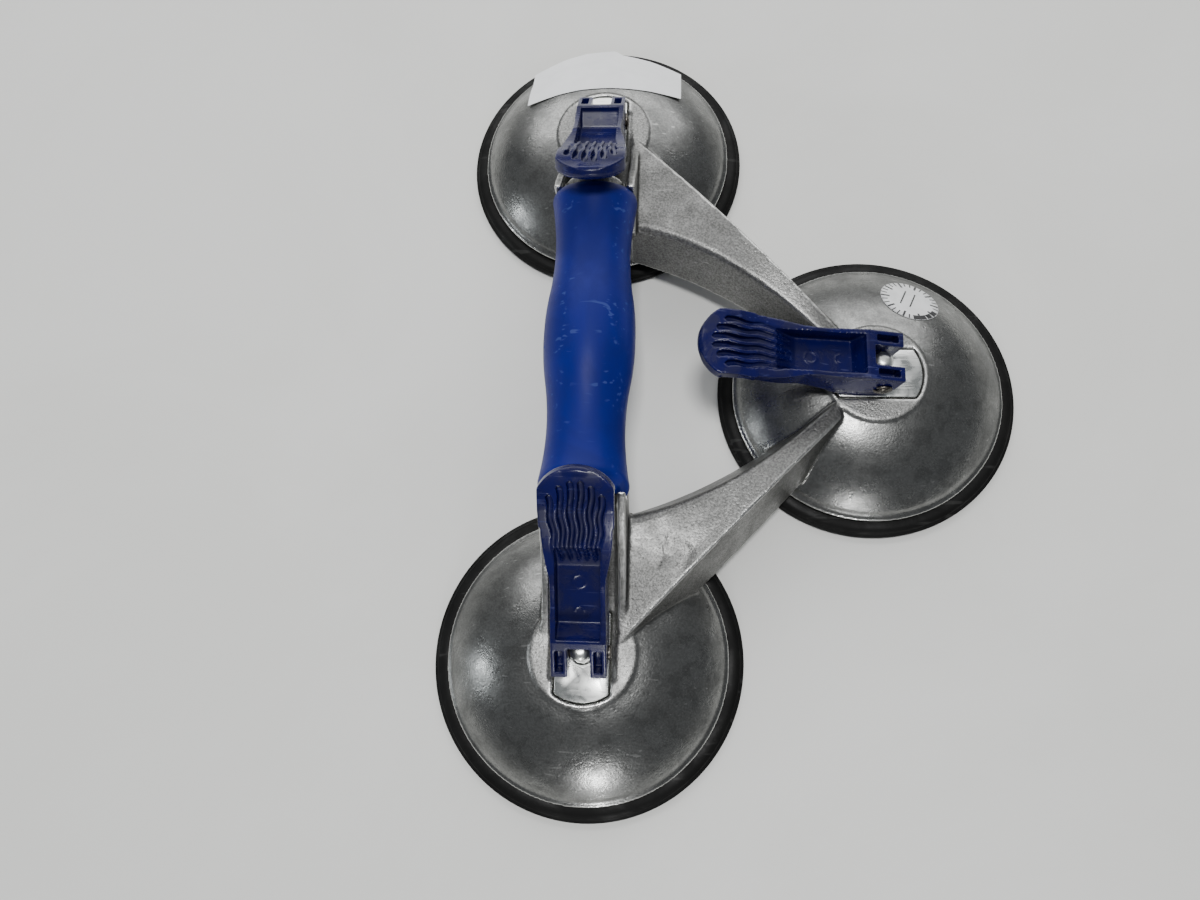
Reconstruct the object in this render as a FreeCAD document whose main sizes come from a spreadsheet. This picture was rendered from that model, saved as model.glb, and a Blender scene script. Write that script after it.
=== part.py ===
import FreeCAD, Part
import math
import os

import Sketcher
from FreeCAD import Placement, Rotation, Vector

# Three-cup vacuum lifter for floor tiles.  A die-cast frame carries three bells,
# a handle bar and two arms.  Under each bell sits a rubber suction pad whose
# middle is pulled up by a stud, and the stud hangs from a cam lever.
# Row frame: millimetres, +Z up, origin on the floor under the middle of the part.
# The handle runs along Y at negative X, and the side head sits at positive X.

SIZES = {
    # layout of the three heads
    "head_spacing": 220.0,      # between the two heads under the handle
    "side_reach": 110.0,        # from the handle to the side head
    # suction pad
    "pad_radius": 60.0,
    "pad_edge": 3.2,            # height of the rubber at its outer edge
    "pad_flange": 4.4,          # height of the rubber under the bell
    "pad_lip": 46.0,            # inner radius of the sealing lip
    "pad_middle": 5.7,          # rubber thickness at the centre
    "pad_flat": 16.0,           # radius of the flat middle of the hollow side
    "pad_hollow_curve": 190.0,
    "pad_back_curve": 60.0,
    "pad_skirt": 4.0,           # from the steel disc out to the slope of the back
    "pad_round": 1.0,           # rounding of the outer edge
    # bell
    "bell_radius": 54.3,
    "bell_wall": 4.0,
    "bell_foot": 2.0,           # height of the upright edge of the bell
    "bell_curve": 58.0,         # radius of the dome's profile
    "shoulder_run": 2.8,        # rounded shoulder between upright edge and dome
    "shoulder_rise": 2.4,
    "shoulder_curve": 3.4,
    "bell_gap": 0.2,            # between the rubber and the bell
    "boss_radius": 20.2,
    "boss_top": 27.2,
    "boss_depth": 10.7,         # thickness of the boss round the stud
    "boss_bevel": 0.9,
    "boss_root": 4.0,           # slope between the boss and the hollow of the bell
    "cavity_side": 1.5,         # upright side of the hollow
    # slide plate
    "plate_top": 27.0,
    "plate_thick": 2.0,
    "plate_radius": 17.5,
    "plate_width": 19.6,
    "plate_gap": 0.6,
    "plate_hole_gap": 0.5,      # round the stud
    # pull stud and the steel plate vulcanised to the pad
    "stud_radius": 3.7,
    "stud_reach": 24.0,         # from the pin down to the pad plate
    "stud_crown": 5.6,          # from the pin up to the top of the stud
    "stud_fit": 0.08,           # radial clearance in the boss
    "crown_flat": 1.2,          # radius of the flat on the stud's crown
    "crown_drop": 1.6,
    "crown_curve": 3.4,
    "steel_radius": 27.0,
    "steel_thick": 2.0,
    "collar_radius": 8.0,
    "collar_thick": 1.6,
    # pivot pin and its clip
    "pin_radius": 2.0,
    "pin_fit": 0.05,            # radial clearance in the stud
    "pin_seat": 0.03,           # radial clearance in the fork
    "pin_play": 0.15,           # between the pin's head and the fork
    "pin_bevel": 0.4,
    "pin_head": 2.7,
    "pin_head_thick": 1.0,
    "pin_tail": 1.5,            # pin left standing beyond the lever
    "clip_radius": 3.5,
    "clip_thick": 0.6,
    "clip_groove": 0.5,         # depth of the groove the clip snaps into
    "clip_play": 0.25,          # between the clip and the fork
    "clip_mouth": 0.2,          # how much narrower its mouth is than the groove
    # cam lever, measured from the pin
    "cam_radius": 6.8,
    "cam_offset": 4.0,          # from the pin to the centre of the cam arc
    "closed_angle": 5.0,        # lever angle with its heel flat on the plate
    "open_angle": 68.0,         # lever angle with its nose flat on the plate
    "handle_tilt": 37.5,        # lever angle at rest, two handle heads
    "side_tilt": 14.0,          # lever angle at rest, side head
    "cam_gap": 0.15,
    "lever_length": 72.5,
    "heel_flat": 5.4,           # flat of the heel beyond the cam
    "back_run": 9.0,            # level top over the fork
    "back_rise": 0.3,
    "dip_height": 6.9,          # top of the side walls where the dip starts
    "dip_curve": 60.0,
    "back_curve": 90.0,
    "thumb_height": 7.4,
    "thumb_crown": 30.0,        # radius of the thumb's top, seen from the side
    "thumb_lip": 1.2,
    "thumb_lip_height": 5.2,
    "thumb_nose": 1.8,          # rounding of the thumb's edge
    "thumb_under": 3.4,         # height of the underside of the thumb
    "belly_x": 13.5,
    "belly_z": -9.3,
    "fork_nose": 5.0,
    "fork_width": 19.4,
    "fork_gap": 8.0,
    "fork_top": 9.0,
    "fork_depth": 6.5,          # from the pin to the root of the fork's gap
    "thumb_start": 0.7,         # share of the length where the round end starts
    "flare_start": 0.45,        # share of the length where the lever starts to widen
    "thumb_width": 25.4,
    "thumb_edge": 0.6,          # how much narrower the thumb is where its end starts
    "lever_wall": 1.9,
    "trough_start": 10.0,
    "trough_step": 12.8,        # foot of the sloped end of the trough
    "trough_step_height": 1.4,
    "trough_low": -0.9,         # floor of the trough at its deepest
    "trough_ramp": 24.0,        # radius of the ramp up to the thumb
    "trough_top": 4.6,          # top of that ramp
    "hollow_start": 12.0,       # hollow under the trough
    "hollow_back": -0.6,
    "hollow_front": -2.9,
    "well_back": -3.0,          # wells that keep the fork legs thin-walled
    "well_front": 5.6,
    "well_inner": 1.4,
    "well_outer": 1.5,
    "well_depth": 5.0,
    "waist_curve": 120.0,       # plan radius where the lever starts to widen
    "flare_curve": 70.0,        # plan radius where it runs out to the thumb
    "waist_start": 18.0,
    "thumb_ribs": 5.0,
    "rib_width": 1.3,
    "rib_pitch_root": 2.9,      # between ribs at the trough and at the thumb's end
    "rib_pitch_tip": 3.5,
    "rib_start": 41.0,
    "rib_end": 67.5,
    "rib_end_drop": 0.75,       # the outer grooves stop short by this times their place squared
    "rib_wave": 0.35,           # bow of each half wave of a rib
    "rib_floor": 5.0,           # height of the grooves between the ribs
    # handle
    "grip_height": 50.0,
    "grip_length": 119.0,
    "grip_shift": 3.0,
    "grip_end_radius": 16.5,
    "grip_waist_radius": 14.4,
    "grip_belly_radius": 17.2,
    "grip_edge": 4.2,           # rounding of the grip's ends
    "grip_gap": 0.3,
    "core_radius": 12.0,
    "bar_root": 5.0,            # bar cast into the necks beyond the grip
    # necks that carry the handle bar
    "neck_width": 31.0,
    "neck_wall": 3.2,
    "neck_floor": 26.3,
    "neck_rise": 59.0,          # height of the neck where the grip starts
    "neck_gap": 0.6,            # from the neck's end face to the grip
    "neck_foot": 18.0,          # height where the web leaves the boss
    "neck_lead": 6.0,           # level top of the web past the stud
    "neck_curve": 62.0,         # radius of both bends of the top edge
    "neck_bend_run": 18.0,      # from the end face to where the two bends meet
    "neck_bend_drop": 17.0,
    "chin_height": 40.0,        # underside of the web at the grip
    "jaw_run": 7.5,
    "jaw_height": 37.0,
    "throat_run": 5.5,
    "throat_height": 31.0,
    "throat_curve": 30.0,
    "throat_end_run": 6.0,
    "throat_end_height": 20.0,
    "belly_run": 22.0,
    "belly_height": 13.0,
    "channel_back": 10.0,       # open channel behind the stud
    "channel_lead": 12.0,
    "channel_curve": 70.0,
    "channel_bend_run": 16.0,
    "channel_bend_drop": 22.0,
    "channel_rim": 6.0,         # from the channel's floor up to the neck's top
    "channel_past": 1.0,
    # arms to the side head
    "arm_low": 12.0,
    "arm_outer_root": 27.5,     # height of the crisp outer edge
    "arm_outer_tip": 27.0,
    "arm_crest_root": 33.0,     # height of the rounded inner edge
    "arm_crest_tip": 26.9,
    "arm_tip_outer": 18.7,
    "arm_tip_crest": 10.5,
    "arm_tip_inner": 6.5,
    "arm_draft": 0.42,          # run of the outer wall for each millimetre of height
    "arm_root_reach": 13.0,     # from the handle's axis to the first section
    "arm_tip_reach": 14.0,      # from the last section to the side head's axis
    "arm_root_outer": 3.2,      # from the head's axis in to the edges at the root
    "arm_root_crest": 48.0,
    "arm_root_inner": 54.5,
    "arm_crest_bow": 9.0,       # bows of the edges, seen from above and from the side
    "arm_inner_bow": 6.2,
    "arm_outer_rise": 5.5,
    "arm_crest_rise": 2.0,
    "arm_round": 5.0,           # rounding between the top and the inner wall
    "arm_round_top": 2.6,
    "arm_round_side": 2.2,
    "arm_round_drop": 2.8,
    "arm_wall": 3.6,            # left round the pocket under each arm
}

doc = FreeCAD.newDocument("tile_lifter")
sheet = doc.addObject("Spreadsheet::Sheet", "sizes")
for row, (alias, value) in enumerate(SIZES.items(), start=1):
    sheet.set(f"A{row}", alias)
    sheet.set(f"B{row}", str(value))
    sheet.setAlias(f"B{row}", alias)
doc.recompute()


class Size:
    """A number that remembers the sheet expression it comes from."""

    def __init__(self, value, text):
        self.value = float(value)
        self.text = text

    @staticmethod
    def of(other):
        if isinstance(other, Size):
            return other
        return Size(other, f"({other!r})")

    def join(self, other, sign, value):
        return Size(value, f"({self.text} {sign} {other.text})")

    def __add__(self, other):
        other = Size.of(other)
        return self.join(other, "+", self.value + other.value)

    def __sub__(self, other):
        other = Size.of(other)
        return self.join(other, "-", self.value - other.value)

    def __mul__(self, other):
        other = Size.of(other)
        return self.join(other, "*", self.value * other.value)

    def __truediv__(self, other):
        other = Size.of(other)
        return self.join(other, "/", self.value / other.value)

    def __neg__(self):
        return self * -1.0

    __radd__ = __add__

    def __rsub__(self, other):
        return Size.of(other) - self

    __rmul__ = __mul__


def size(alias):
    """The driving dimension of that name."""
    return Size(sheet.get(alias), f"sizes.{alias}")


def sine(angle):
    return Size(math.sin(math.radians(angle.value)), f"sin({angle.text} * 1 deg)")


def cosine(angle):
    return Size(math.cos(math.radians(angle.value)), f"cos({angle.text} * 1 deg)")


def root(square):
    return Size(math.sqrt(square.value), f"sqrt({square.text})")


def bind(thing, name, measure):
    """Ties one property to the sheet."""
    thing.setExpression(name, Size.of(measure).text)


# ---------------------------------------------------------------- sketch tools

pieces = []


def new_piece(label):
    body = doc.addObject("PartDesign::Body", label)
    body.Label = label
    pieces.append(body)
    return body


def new_sketch(body, name, role, shift=(0, 0, 0), turn=0):
    """A sketch on one of the body's own planes, moved by shift and turned in it."""
    plane = [f for f in body.Origin.OriginFeatures if f.Role == role][0]
    sketch = body.newObject("Sketcher::SketchObject", name)
    sketch.AttachmentSupport = (plane, [""])
    sketch.MapMode = "FlatFace"
    sketch.AttachmentOffset = Placement(Vector(0, 0, 0), Rotation(Vector(0, 0, 1), turn))
    for letter, measure in zip("xyz", shift):
        bind(sketch, f"AttachmentOffset.Base.{letter}", measure)
    return sketch


def hold(sketch, kind, where, measure):
    """Adds one dimension to a sketch and ties it to the sheet."""
    measure = Size.of(measure)
    index = sketch.addConstraint(Sketcher.Constraint(kind, *where, measure.value))
    sketch.setExpression(f"Constraints[{index}]", measure.text)


def pin_down(sketch, where, x, y):
    """Fixes one point of a sketch at x, y."""
    for kind, axis, measure in (("DistanceX", -2, x), ("DistanceY", -1, y)):
        measure = Size.of(measure)
        if abs(measure.value) < 1e-9:
            sketch.addConstraint(Sketcher.Constraint("PointOnObject", *where, axis))
        else:
            hold(sketch, kind, where, measure)


def arc_between(start, end, radius, bend):
    """The short arc of that radius; bend +1 turns left on the way, -1 right."""
    chord = end - start
    left = Vector(-chord.y, chord.x, 0).normalize()
    rise = math.sqrt(max(radius ** 2 - chord.Length ** 2 / 4, 0.0))
    centre = (start + end) * 0.5 + left * rise * bend
    first, last = (start, end) if bend > 0 else (end, start)
    angles = [math.atan2(p.y - centre.y, p.x - centre.x) for p in (first, last)]
    if angles[1] < angles[0]:
        angles[1] += 2 * math.pi
    return Part.ArcOfCircle(Part.Circle(centre, Vector(0, 0, 1), radius), *angles)


def outline(sketch, path):
    """A closed loop.  Each entry is x, y, or x, y, radius, bend for an arc to it."""
    points = [Vector(Size.of(p[0]).value, Size.of(p[1]).value, 0) for p in path]
    ends = []
    for i, step in enumerate(path):
        start, end = points[i - 1], points[i]
        if len(step) == 2:
            index = sketch.addGeometry(Part.LineSegment(start, end))
            ends.append(((index, 1), (index, 2)))
            continue
        arc = arc_between(start, end, Size.of(step[2]).value, step[3])
        index = sketch.addGeometry(arc)
        first = sketch.Geometry[index].StartPoint.distanceToPoint(start) < 1e-6
        ends.append(((index, 1), (index, 2)) if first else ((index, 2), (index, 1)))
        hold(sketch, "Radius", (index,), step[2])
    for i, step in enumerate(path):
        following = ends[(i + 1) % len(path)][0]
        sketch.addConstraint(Sketcher.Constraint("Coincident", *ends[i][1], *following))
        pin_down(sketch, ends[i][1], step[0], step[1])


def disc(sketch, x, y, radius):
    centre = Vector(Size.of(x).value, Size.of(y).value, 0)
    circle = Part.Circle(centre, Vector(0, 0, 1), Size.of(radius).value)
    index = sketch.addGeometry(circle)
    pin_down(sketch, (index, 3), x, y)
    hold(sketch, "Radius", (index,), radius)


def round_ended_plate(sketch, half_width, radius):
    """Two straight sides along x, closed by arcs about the origin."""
    half_angle = math.asin(half_width.value / radius.value)
    reach = radius.value * math.cos(half_angle)
    circle = Part.Circle(Vector(0, 0, 0), Vector(0, 0, 1), radius.value)
    arcs = []
    for middle in (0.0, math.pi):
        arc = Part.ArcOfCircle(circle, middle - half_angle, middle + half_angle)
        index = sketch.addGeometry(arc)
        sketch.addConstraint(Sketcher.Constraint("Coincident", index, 3, -1, 1))
        hold(sketch, "Radius", (index,), radius)
        arcs.append(index)
    for side, first, last in ((1, (arcs[0], 2), (arcs[1], 1)), (-1, (arcs[1], 2), (arcs[0], 1))):
        start = Vector(side * reach, side * half_width.value, 0)
        end = Vector(-side * reach, side * half_width.value, 0)
        line = sketch.addGeometry(Part.LineSegment(start, end))
        sketch.addConstraint(Sketcher.Constraint("Coincident", *first, line, 1))
        sketch.addConstraint(Sketcher.Constraint("Coincident", line, 2, *last))
        sketch.addConstraint(Sketcher.Constraint("Horizontal", line))
        hold(sketch, "DistanceY", (line, 1), half_width * float(side))


def turned(body, name, sketch, cut=False, axis="V_Axis"):
    """Revolves a sketch fully about its own axis."""
    kind = "PartDesign::Groove" if cut else "PartDesign::Revolution"
    feature = body.newObject(kind, name)
    feature.Profile = sketch
    feature.ReferenceAxis = (sketch, [axis])
    feature.Angle = 360.0
    return feature


def raised(body, name, sketch, length, both=False, back=False):
    """Pads a sketch, to both sides of its plane or to its back if asked."""
    feature = body.newObject("PartDesign::Pad", name)
    feature.Profile = sketch
    bind(feature, "Length", length)
    feature.Midplane = both
    feature.Reversed = back
    return feature


def cut_away(body, name, sketch, length=None, both=False, back=False):
    """Pockets a sketch; without a length it goes right through both ways."""
    feature = body.newObject("PartDesign::Pocket", name)
    feature.Profile = sketch
    if length is None:
        feature.Type = 1
        feature.Midplane = True
    else:
        bind(feature, "Length", length)
        feature.Midplane = both
        feature.Reversed = back
    return feature


# ---------------------------------------------------------- places and heights

half_spacing = size("head_spacing") / 2
handle_x = size("side_reach") / -2
side_x = size("side_reach") / 2
cam_centre_angle = (size("closed_angle") + size("open_angle")) / 2


def pin_height(tilt):
    """Height of a pin with its lever at that angle, the cam arc on the plate."""
    lift = size("cam_radius") - size("cam_offset") * sine(tilt - cam_centre_angle)
    return size("plate_top") + size("cam_gap") + lift


# name, x, y, direction of the thumb in degrees from +X, lever angle at rest
HEADS = (
    ("front", handle_x, -half_spacing, 90.0, size("handle_tilt")),
    ("rear", handle_x, half_spacing, -90.0, size("handle_tilt")),
    ("side", side_x, Size(0.0, "0"), 180.0, size("side_tilt")),
)


def stand(body, x, y, z, heading=0.0, tilt=None):
    """Places a piece: first tipped up by tilt, then turned to its heading."""
    turn = Rotation(Vector(0, 0, 1), heading)
    if tilt is not None:
        turn = turn.multiply(Rotation(Vector(0, 1, 0), -tilt.value))
    body.Placement = Placement(Vector(x.value, y.value, z.value), turn)
    for letter, measure in zip("xyz", (x, y, z)):
        bind(body, f"Placement.Base.{letter}", measure)


# ------------------------------------------------------------------ cast frame

frame = new_piece("cast_frame")

bell_base = size("pad_flange") + size("bell_gap")
foot_top = bell_base + size("bell_foot")
dome_low = (size("bell_radius") - size("shoulder_run"), foot_top + size("shoulder_rise"))
dome_high = (size("boss_radius"), size("boss_top") - size("boss_bevel"))
cavity_top = size("boss_top") - size("boss_depth")
cavity_radius = size("bell_radius") - size("bell_wall")


OVERCUT = 1.0       # how far a cut starts outside the solid it cuts


def bell_sketch(name, x, y):
    """Upright half section of a bell, filled in to its axis."""
    sketch = new_sketch(frame, f"{name}_bell_section", "XZ_Plane", (x, 0, -y))
    outline(sketch, [
        (0, bell_base),
        (size("bell_radius"), bell_base),
        (size("bell_radius"), foot_top),
        (dome_low[0], dome_low[1], size("shoulder_curve"), -1),
        (dome_high[0], dome_high[1], size("bell_curve"), 1),
        (size("boss_radius") - size("boss_bevel"), size("boss_top")),
        (0, size("boss_top")),
    ])
    return sketch


def cavity_sketch(name, x, y):
    """Half section of the hollow under a bell."""
    sketch = new_sketch(frame, f"{name}_cavity_section", "XZ_Plane", (x, 0, -y))
    outline(sketch, [
        (0, bell_base - OVERCUT),
        (cavity_radius, bell_base - OVERCUT),
        (cavity_radius, bell_base + size("cavity_side")),
        (size("boss_radius") + size("cavity_side"), dome_high[1] - size("bell_wall"),
         size("bell_curve") - size("bell_wall"), 1),
        (size("boss_radius") - size("boss_root"), cavity_top),
        (0, cavity_top),
    ])
    return sketch


for name, x, y, heading, tilt in HEADS:
    turned(frame, f"{name}_bell", bell_sketch(name, x, y))

# Each neck rises from its boss to the end of the grip as an open channel.
grip_ends = {
    "front": size("grip_shift") - size("grip_length") / 2,
    "rear": size("grip_shift") + size("grip_length") / 2,
}
neck_half = size("neck_width") / 2
corner_run = root(size("boss_radius") * size("boss_radius") - neck_half * neck_half)
channel_width = size("neck_width") - size("neck_wall") * 2

for name, side in (("front", -1.0), ("rear", 1.0)):
    head_y = half_spacing * side
    end_y = grip_ends[name] + size("neck_gap") * side
    bend = -1 if side < 0 else 1
    web = new_sketch(frame, f"{name}_neck_section", "YZ_Plane", (0, 0, handle_x))
    outline(web, [
        (head_y + corner_run * side, size("neck_foot")),
        (head_y + corner_run * side, size("boss_top")),
        (head_y - size("neck_lead") * side, size("boss_top")),
        (end_y + size("neck_bend_run") * side, size("neck_rise") - size("neck_bend_drop"),
         size("neck_curve"), -bend),
        (end_y, size("neck_rise"), size("neck_curve"), bend),
        (end_y, size("chin_height")),
        (end_y - size("jaw_run") * side, size("jaw_height")),
        (end_y - size("throat_run") * side, size("throat_height")),
        (end_y + size("throat_end_run") * side, size("throat_end_height"),
         size("throat_curve"), bend),
        (end_y + size("belly_run") * side, size("belly_height")),
    ])
    raised(frame, f"{name}_neck", web, size("neck_width"), both=True)

    past_y = end_y - size("channel_past") * side
    sky = size("neck_rise") + OVERCUT
    trough = new_sketch(frame, f"{name}_channel_section", "YZ_Plane", (0, 0, handle_x))
    outline(trough, [
        (head_y + size("channel_back") * side, size("neck_floor")),
        (head_y - size("channel_lead") * side, size("neck_floor")),
        (end_y + size("channel_bend_run") * side,
         size("neck_rise") - size("channel_bend_drop"), size("channel_curve"), -bend),
        (past_y, size("neck_rise") - size("channel_rim"), size("channel_curve"), bend),
        (past_y, sky),
        (head_y + size("channel_back") * side, sky),
    ])
    cut_away(frame, f"{name}_channel", trough, channel_width, both=True)

# The arms run from the necks to the side boss.  Stations go from root to tip.
ARM_STATIONS = (0.0, 0.35, 0.68, 1.0)
POCKET_STATIONS = (0.36, 0.48, 0.6)
TIP_SHARPNESS = 0.6     # how much smaller the rounding of an arm is at its tip


def along(start, end, share, bow=0.0):
    """A value on the way from start to end, bowed out in the middle."""
    start = Size.of(start)
    return start + (Size.of(end) - start) * share + bow * (4 * share * (1 - share))


def arm_section(name, side, share, inset=0.0):
    """Section across an arm; with an inset it lies that far inside the walls."""
    x = along(handle_x + size("arm_root_reach"), side_x - size("arm_tip_reach"), share)
    outer = along(half_spacing - size("arm_root_outer"), size("arm_tip_outer"), share) - inset
    crest = along(half_spacing - size("arm_root_crest"), size("arm_tip_crest"), share,
                  size("arm_crest_bow")) + inset
    inner = along(half_spacing - size("arm_root_inner"), size("arm_tip_inner"), share,
                  size("arm_inner_bow")) + inset
    outer_top = along(size("arm_outer_root"), size("arm_outer_tip"), share,
                      size("arm_outer_rise")) - inset
    crest_top = along(size("arm_crest_root"), size("arm_crest_tip"), share,
                      size("arm_crest_rise")) - inset
    low = size("arm_low") if inset == 0.0 else size("arm_low") - OVERCUT
    foot = outer + (outer_top - low) * size("arm_draft")
    soft = 1 - TIP_SHARPNESS * share
    section = new_sketch(frame, name, "YZ_Plane", (0, 0, x))
    outline(section, [
        (foot * side, low),
        (outer * side, outer_top),
        ((crest + size("arm_round_top") * soft) * side, crest_top),
        ((crest - size("arm_round_side") * soft) * side,
         crest_top - size("arm_round_drop") * soft, size("arm_round") * soft, side),
        (inner * side, low),
    ])
    return section


def arm_loft(kind, name, sections):
    loft = frame.newObject(kind, name)
    loft.Profile = sections[0]
    loft.Sections = sections[1:]
    loft.Ruled = False


for name, side in (("front", -1), ("rear", 1)):
    arm_loft("PartDesign::AdditiveLoft", f"{name}_arm", [
        arm_section(f"{name}_arm_section_{number}", side, share)
        for number, share in enumerate(ARM_STATIONS)
    ])
    arm_loft("PartDesign::SubtractiveLoft", f"{name}_arm_pocket", [
        arm_section(f"{name}_pocket_section_{number}", side, share, size("arm_wall"))
        for number, share in enumerate(POCKET_STATIONS)
    ])

# Room for the grip, then the bar that runs through it.
axis_sketch = new_sketch(frame, "grip_room_section", "XY_Plane",
                         (handle_x, 0, size("grip_height")))
room = size("grip_belly_radius") + size("grip_gap")
outline(axis_sketch, [
    (0, grip_ends["front"] - size("grip_gap")),
    (room, grip_ends["front"] - size("grip_gap")),
    (room, grip_ends["rear"] + size("grip_gap")),
    (0, grip_ends["rear"] + size("grip_gap")),
])
turned(frame, "grip_room", axis_sketch, cut=True)

bar_sketch = new_sketch(frame, "handle_bar_section", "XY_Plane",
                        (handle_x, 0, size("grip_height")))
outline(bar_sketch, [
    (0, grip_ends["front"] - size("bar_root")),
    (size("core_radius"), grip_ends["front"] - size("bar_root")),
    (size("core_radius"), grip_ends["rear"] + size("bar_root")),
    (0, grip_ends["rear"] + size("bar_root")),
])
turned(frame, "handle_bar", bar_sketch)

for name, x, y, heading, tilt in HEADS:
    turned(frame, f"{name}_cavity", cavity_sketch(name, x, y), cut=True)

    floor = size("plate_top") - size("plate_thick")
    seat = new_sketch(frame, f"{name}_plate_seat_outline", "XY_Plane", (x, y, floor), heading)
    round_ended_plate(seat, size("plate_width") / 2 + size("plate_gap"),
                      size("plate_radius") + size("plate_gap"))
    cut_away(frame, f"{name}_plate_seat", seat, size("plate_thick") * 3, back=True)

    bore = new_sketch(frame, f"{name}_stud_bore_outline", "XY_Plane", (x, y, floor + OVERCUT))
    disc(bore, 0, 0, size("stud_radius") + size("stud_fit"))
    cut_away(frame, f"{name}_stud_bore", bore, size("boss_depth") + OVERCUT * 2)

# ----------------------------------------------------------------- handle grip

grip = new_piece("handle_grip")
half_grip = size("grip_length") / 2
edge = size("grip_edge")
end_radius = size("grip_end_radius")
swell = half_grip * 0.3                      # where the waist turns into the belly
swell_radius = (size("grip_waist_radius") + size("grip_belly_radius")) / 2


def arc_radius(run, sag):
    """Radius of the arc over a chord of that length with that much sag."""
    return run * run / (sag * 8) + sag / 2


waist_run = half_grip - edge - swell
waist_sag = (end_radius + swell_radius) / 2 - size("grip_waist_radius")
waist_curve = arc_radius(waist_run, waist_sag)
belly_curve = arc_radius(swell * 2, size("grip_belly_radius") - swell_radius)

grip_sketch = new_sketch(grip, "grip_section", "XY_Plane",
                         (handle_x, size("grip_shift"), size("grip_height")))
outline(grip_sketch, [
    (size("core_radius"), -half_grip),
    (end_radius - edge, -half_grip),
    (end_radius, edge - half_grip, edge, 1),
    (swell_radius, -swell, waist_curve, -1),
    (swell_radius, swell, belly_curve, 1),
    (end_radius, half_grip - edge, waist_curve, -1),
    (end_radius - edge, half_grip, edge, 1),
    (size("core_radius"), half_grip),
])
turned(grip, "grip_sleeve", grip_sketch)


# -------------------------------------------------------------- suction heads

def suction_pad(name, x, y, tilt):
    """Rubber disc: flat sealing lip, hollow middle drawn up by the stud."""
    body = new_piece(f"{name}_suction_pad")
    crown = pin_height(tilt) - size("stud_reach") - size("steel_thick")
    hollow = crown - size("pad_middle")
    flange = size("pad_flange")
    edge = size("pad_round")
    sketch = new_sketch(body, "pad_section", "XZ_Plane")
    outline(sketch, [
        (0, hollow),
        (size("pad_flat"), hollow),
        (size("pad_lip"), 0, size("pad_hollow_curve"), -1),
        (size("pad_radius") - edge, 0),
        (size("pad_radius"), edge, edge, 1),
        (size("pad_radius"), size("pad_edge") - edge),
        (size("pad_radius") - edge * 1.6, size("pad_edge") + edge * 0.4, edge * 2.2, 1),
        (size("bell_radius") + edge * 0.6, flange),
        (size("pad_lip"), flange),
        (size("steel_radius") + size("pad_skirt"), crown, size("pad_back_curve"), 1),
        (0, crown),
    ])
    turned(body, "pad_disc", sketch)
    stand(body, x, y, Size(0.0, "0"))


def pad_plate(name, x, y, tilt):
    """Steel disc vulcanised to the top of the rubber."""
    body = new_piece(f"{name}_pad_plate")
    sketch = new_sketch(body, "steel_outline", "XY_Plane")
    disc(sketch, 0, 0, size("steel_radius"))
    raised(body, "steel_disc", sketch, size("steel_thick"), back=True)
    stand(body, x, y, pin_height(tilt) - size("stud_reach"))


def pull_stud(name, x, y, heading, tilt):
    """Round stud with a welded collar below and a cross hole near its crown."""
    body = new_piece(f"{name}_pull_stud")
    radius = size("stud_radius")
    low = -size("stud_reach")
    sketch = new_sketch(body, "stud_section", "XZ_Plane")
    outline(sketch, [
        (0, low),
        (size("collar_radius"), low),
        (size("collar_radius"), low + size("collar_thick")),
        (radius, low + size("collar_thick")),
        (radius, size("stud_crown") - size("crown_drop")),
        (size("crown_flat"), size("stud_crown"), size("crown_curve"), 1),
        (0, size("stud_crown")),
    ])
    turned(body, "stud_shank", sketch)
    hole = new_sketch(body, "pin_hole_outline", "XZ_Plane")
    disc(hole, 0, 0, size("pin_radius") + size("pin_fit"))
    cut_away(body, "pin_hole", hole)
    stand(body, x, y, pin_height(tilt), heading)


def slide_plate(name, x, y, heading):
    """Zinc-plated wear plate that the cam slides on."""
    body = new_piece(f"{name}_slide_plate")
    sketch = new_sketch(body, "plate_outline", "XY_Plane")
    round_ended_plate(sketch, size("plate_width") / 2, size("plate_radius"))
    raised(body, "plate_blank", sketch, size("plate_thick"), back=True)
    hole = new_sketch(body, "stud_hole_outline", "XY_Plane")
    disc(hole, 0, 0, size("stud_radius") + size("plate_hole_gap"))
    cut_away(body, "stud_hole", hole)
    stand(body, x, y, size("plate_top"), heading)


def cam_point(angle, gap=0.0):
    """Point of the cam arc that meets the plate with the lever at that angle."""
    centre_x = size("cam_offset") * cosine(cam_centre_angle)
    centre_z = -(size("cam_offset") * sine(cam_centre_angle))
    reach = size("cam_radius") - gap
    return centre_x - reach * sine(angle), centre_z - reach * cosine(angle)


RIB_HALF_WAVES = 4


def thumb_groove(body, number, place):
    """One wavy groove between two ribs; place counts grooves from the middle."""
    shares = [i / RIB_HALF_WAVES for i in range(RIB_HALF_WAVES + 1)]
    start = size("rib_start")
    end = size("rib_end") - size("rib_end_drop") * place ** 2
    stations = [along(start, end, share) for share in shares]
    pitches = [along(size("rib_pitch_root"), size("rib_pitch_tip"), share) for share in shares]
    wall = size("rib_width") / 2
    low = [pitch * (place - 0.5) + wall for pitch in pitches]
    high = [pitch * (place + 0.5) - wall for pitch in pitches]
    wave = arc_radius((end - start) / RIB_HALF_WAVES, size("rib_wave"))
    bends = [1 if i % 2 else -1 for i in range(RIB_HALF_WAVES)]

    path = [(stations[0], low[0])]
    for i, bend in enumerate(bends, start=1):
        path.append((stations[i], low[i], wave, bend))
    path.append((stations[-1], high[-1], (high[-1] - low[-1]) * 0.52, 1))
    for i, bend in reversed(list(enumerate(bends))):
        path.append((stations[i], high[i], wave, -bend))
    sketch = new_sketch(body, f"groove_{number}_outline", "XY_Plane",
                        (0, 0, size("rib_floor")))
    outline(sketch, path)
    cut_away(body, f"groove_{number}", sketch, size("fork_top"), back=True)


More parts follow.
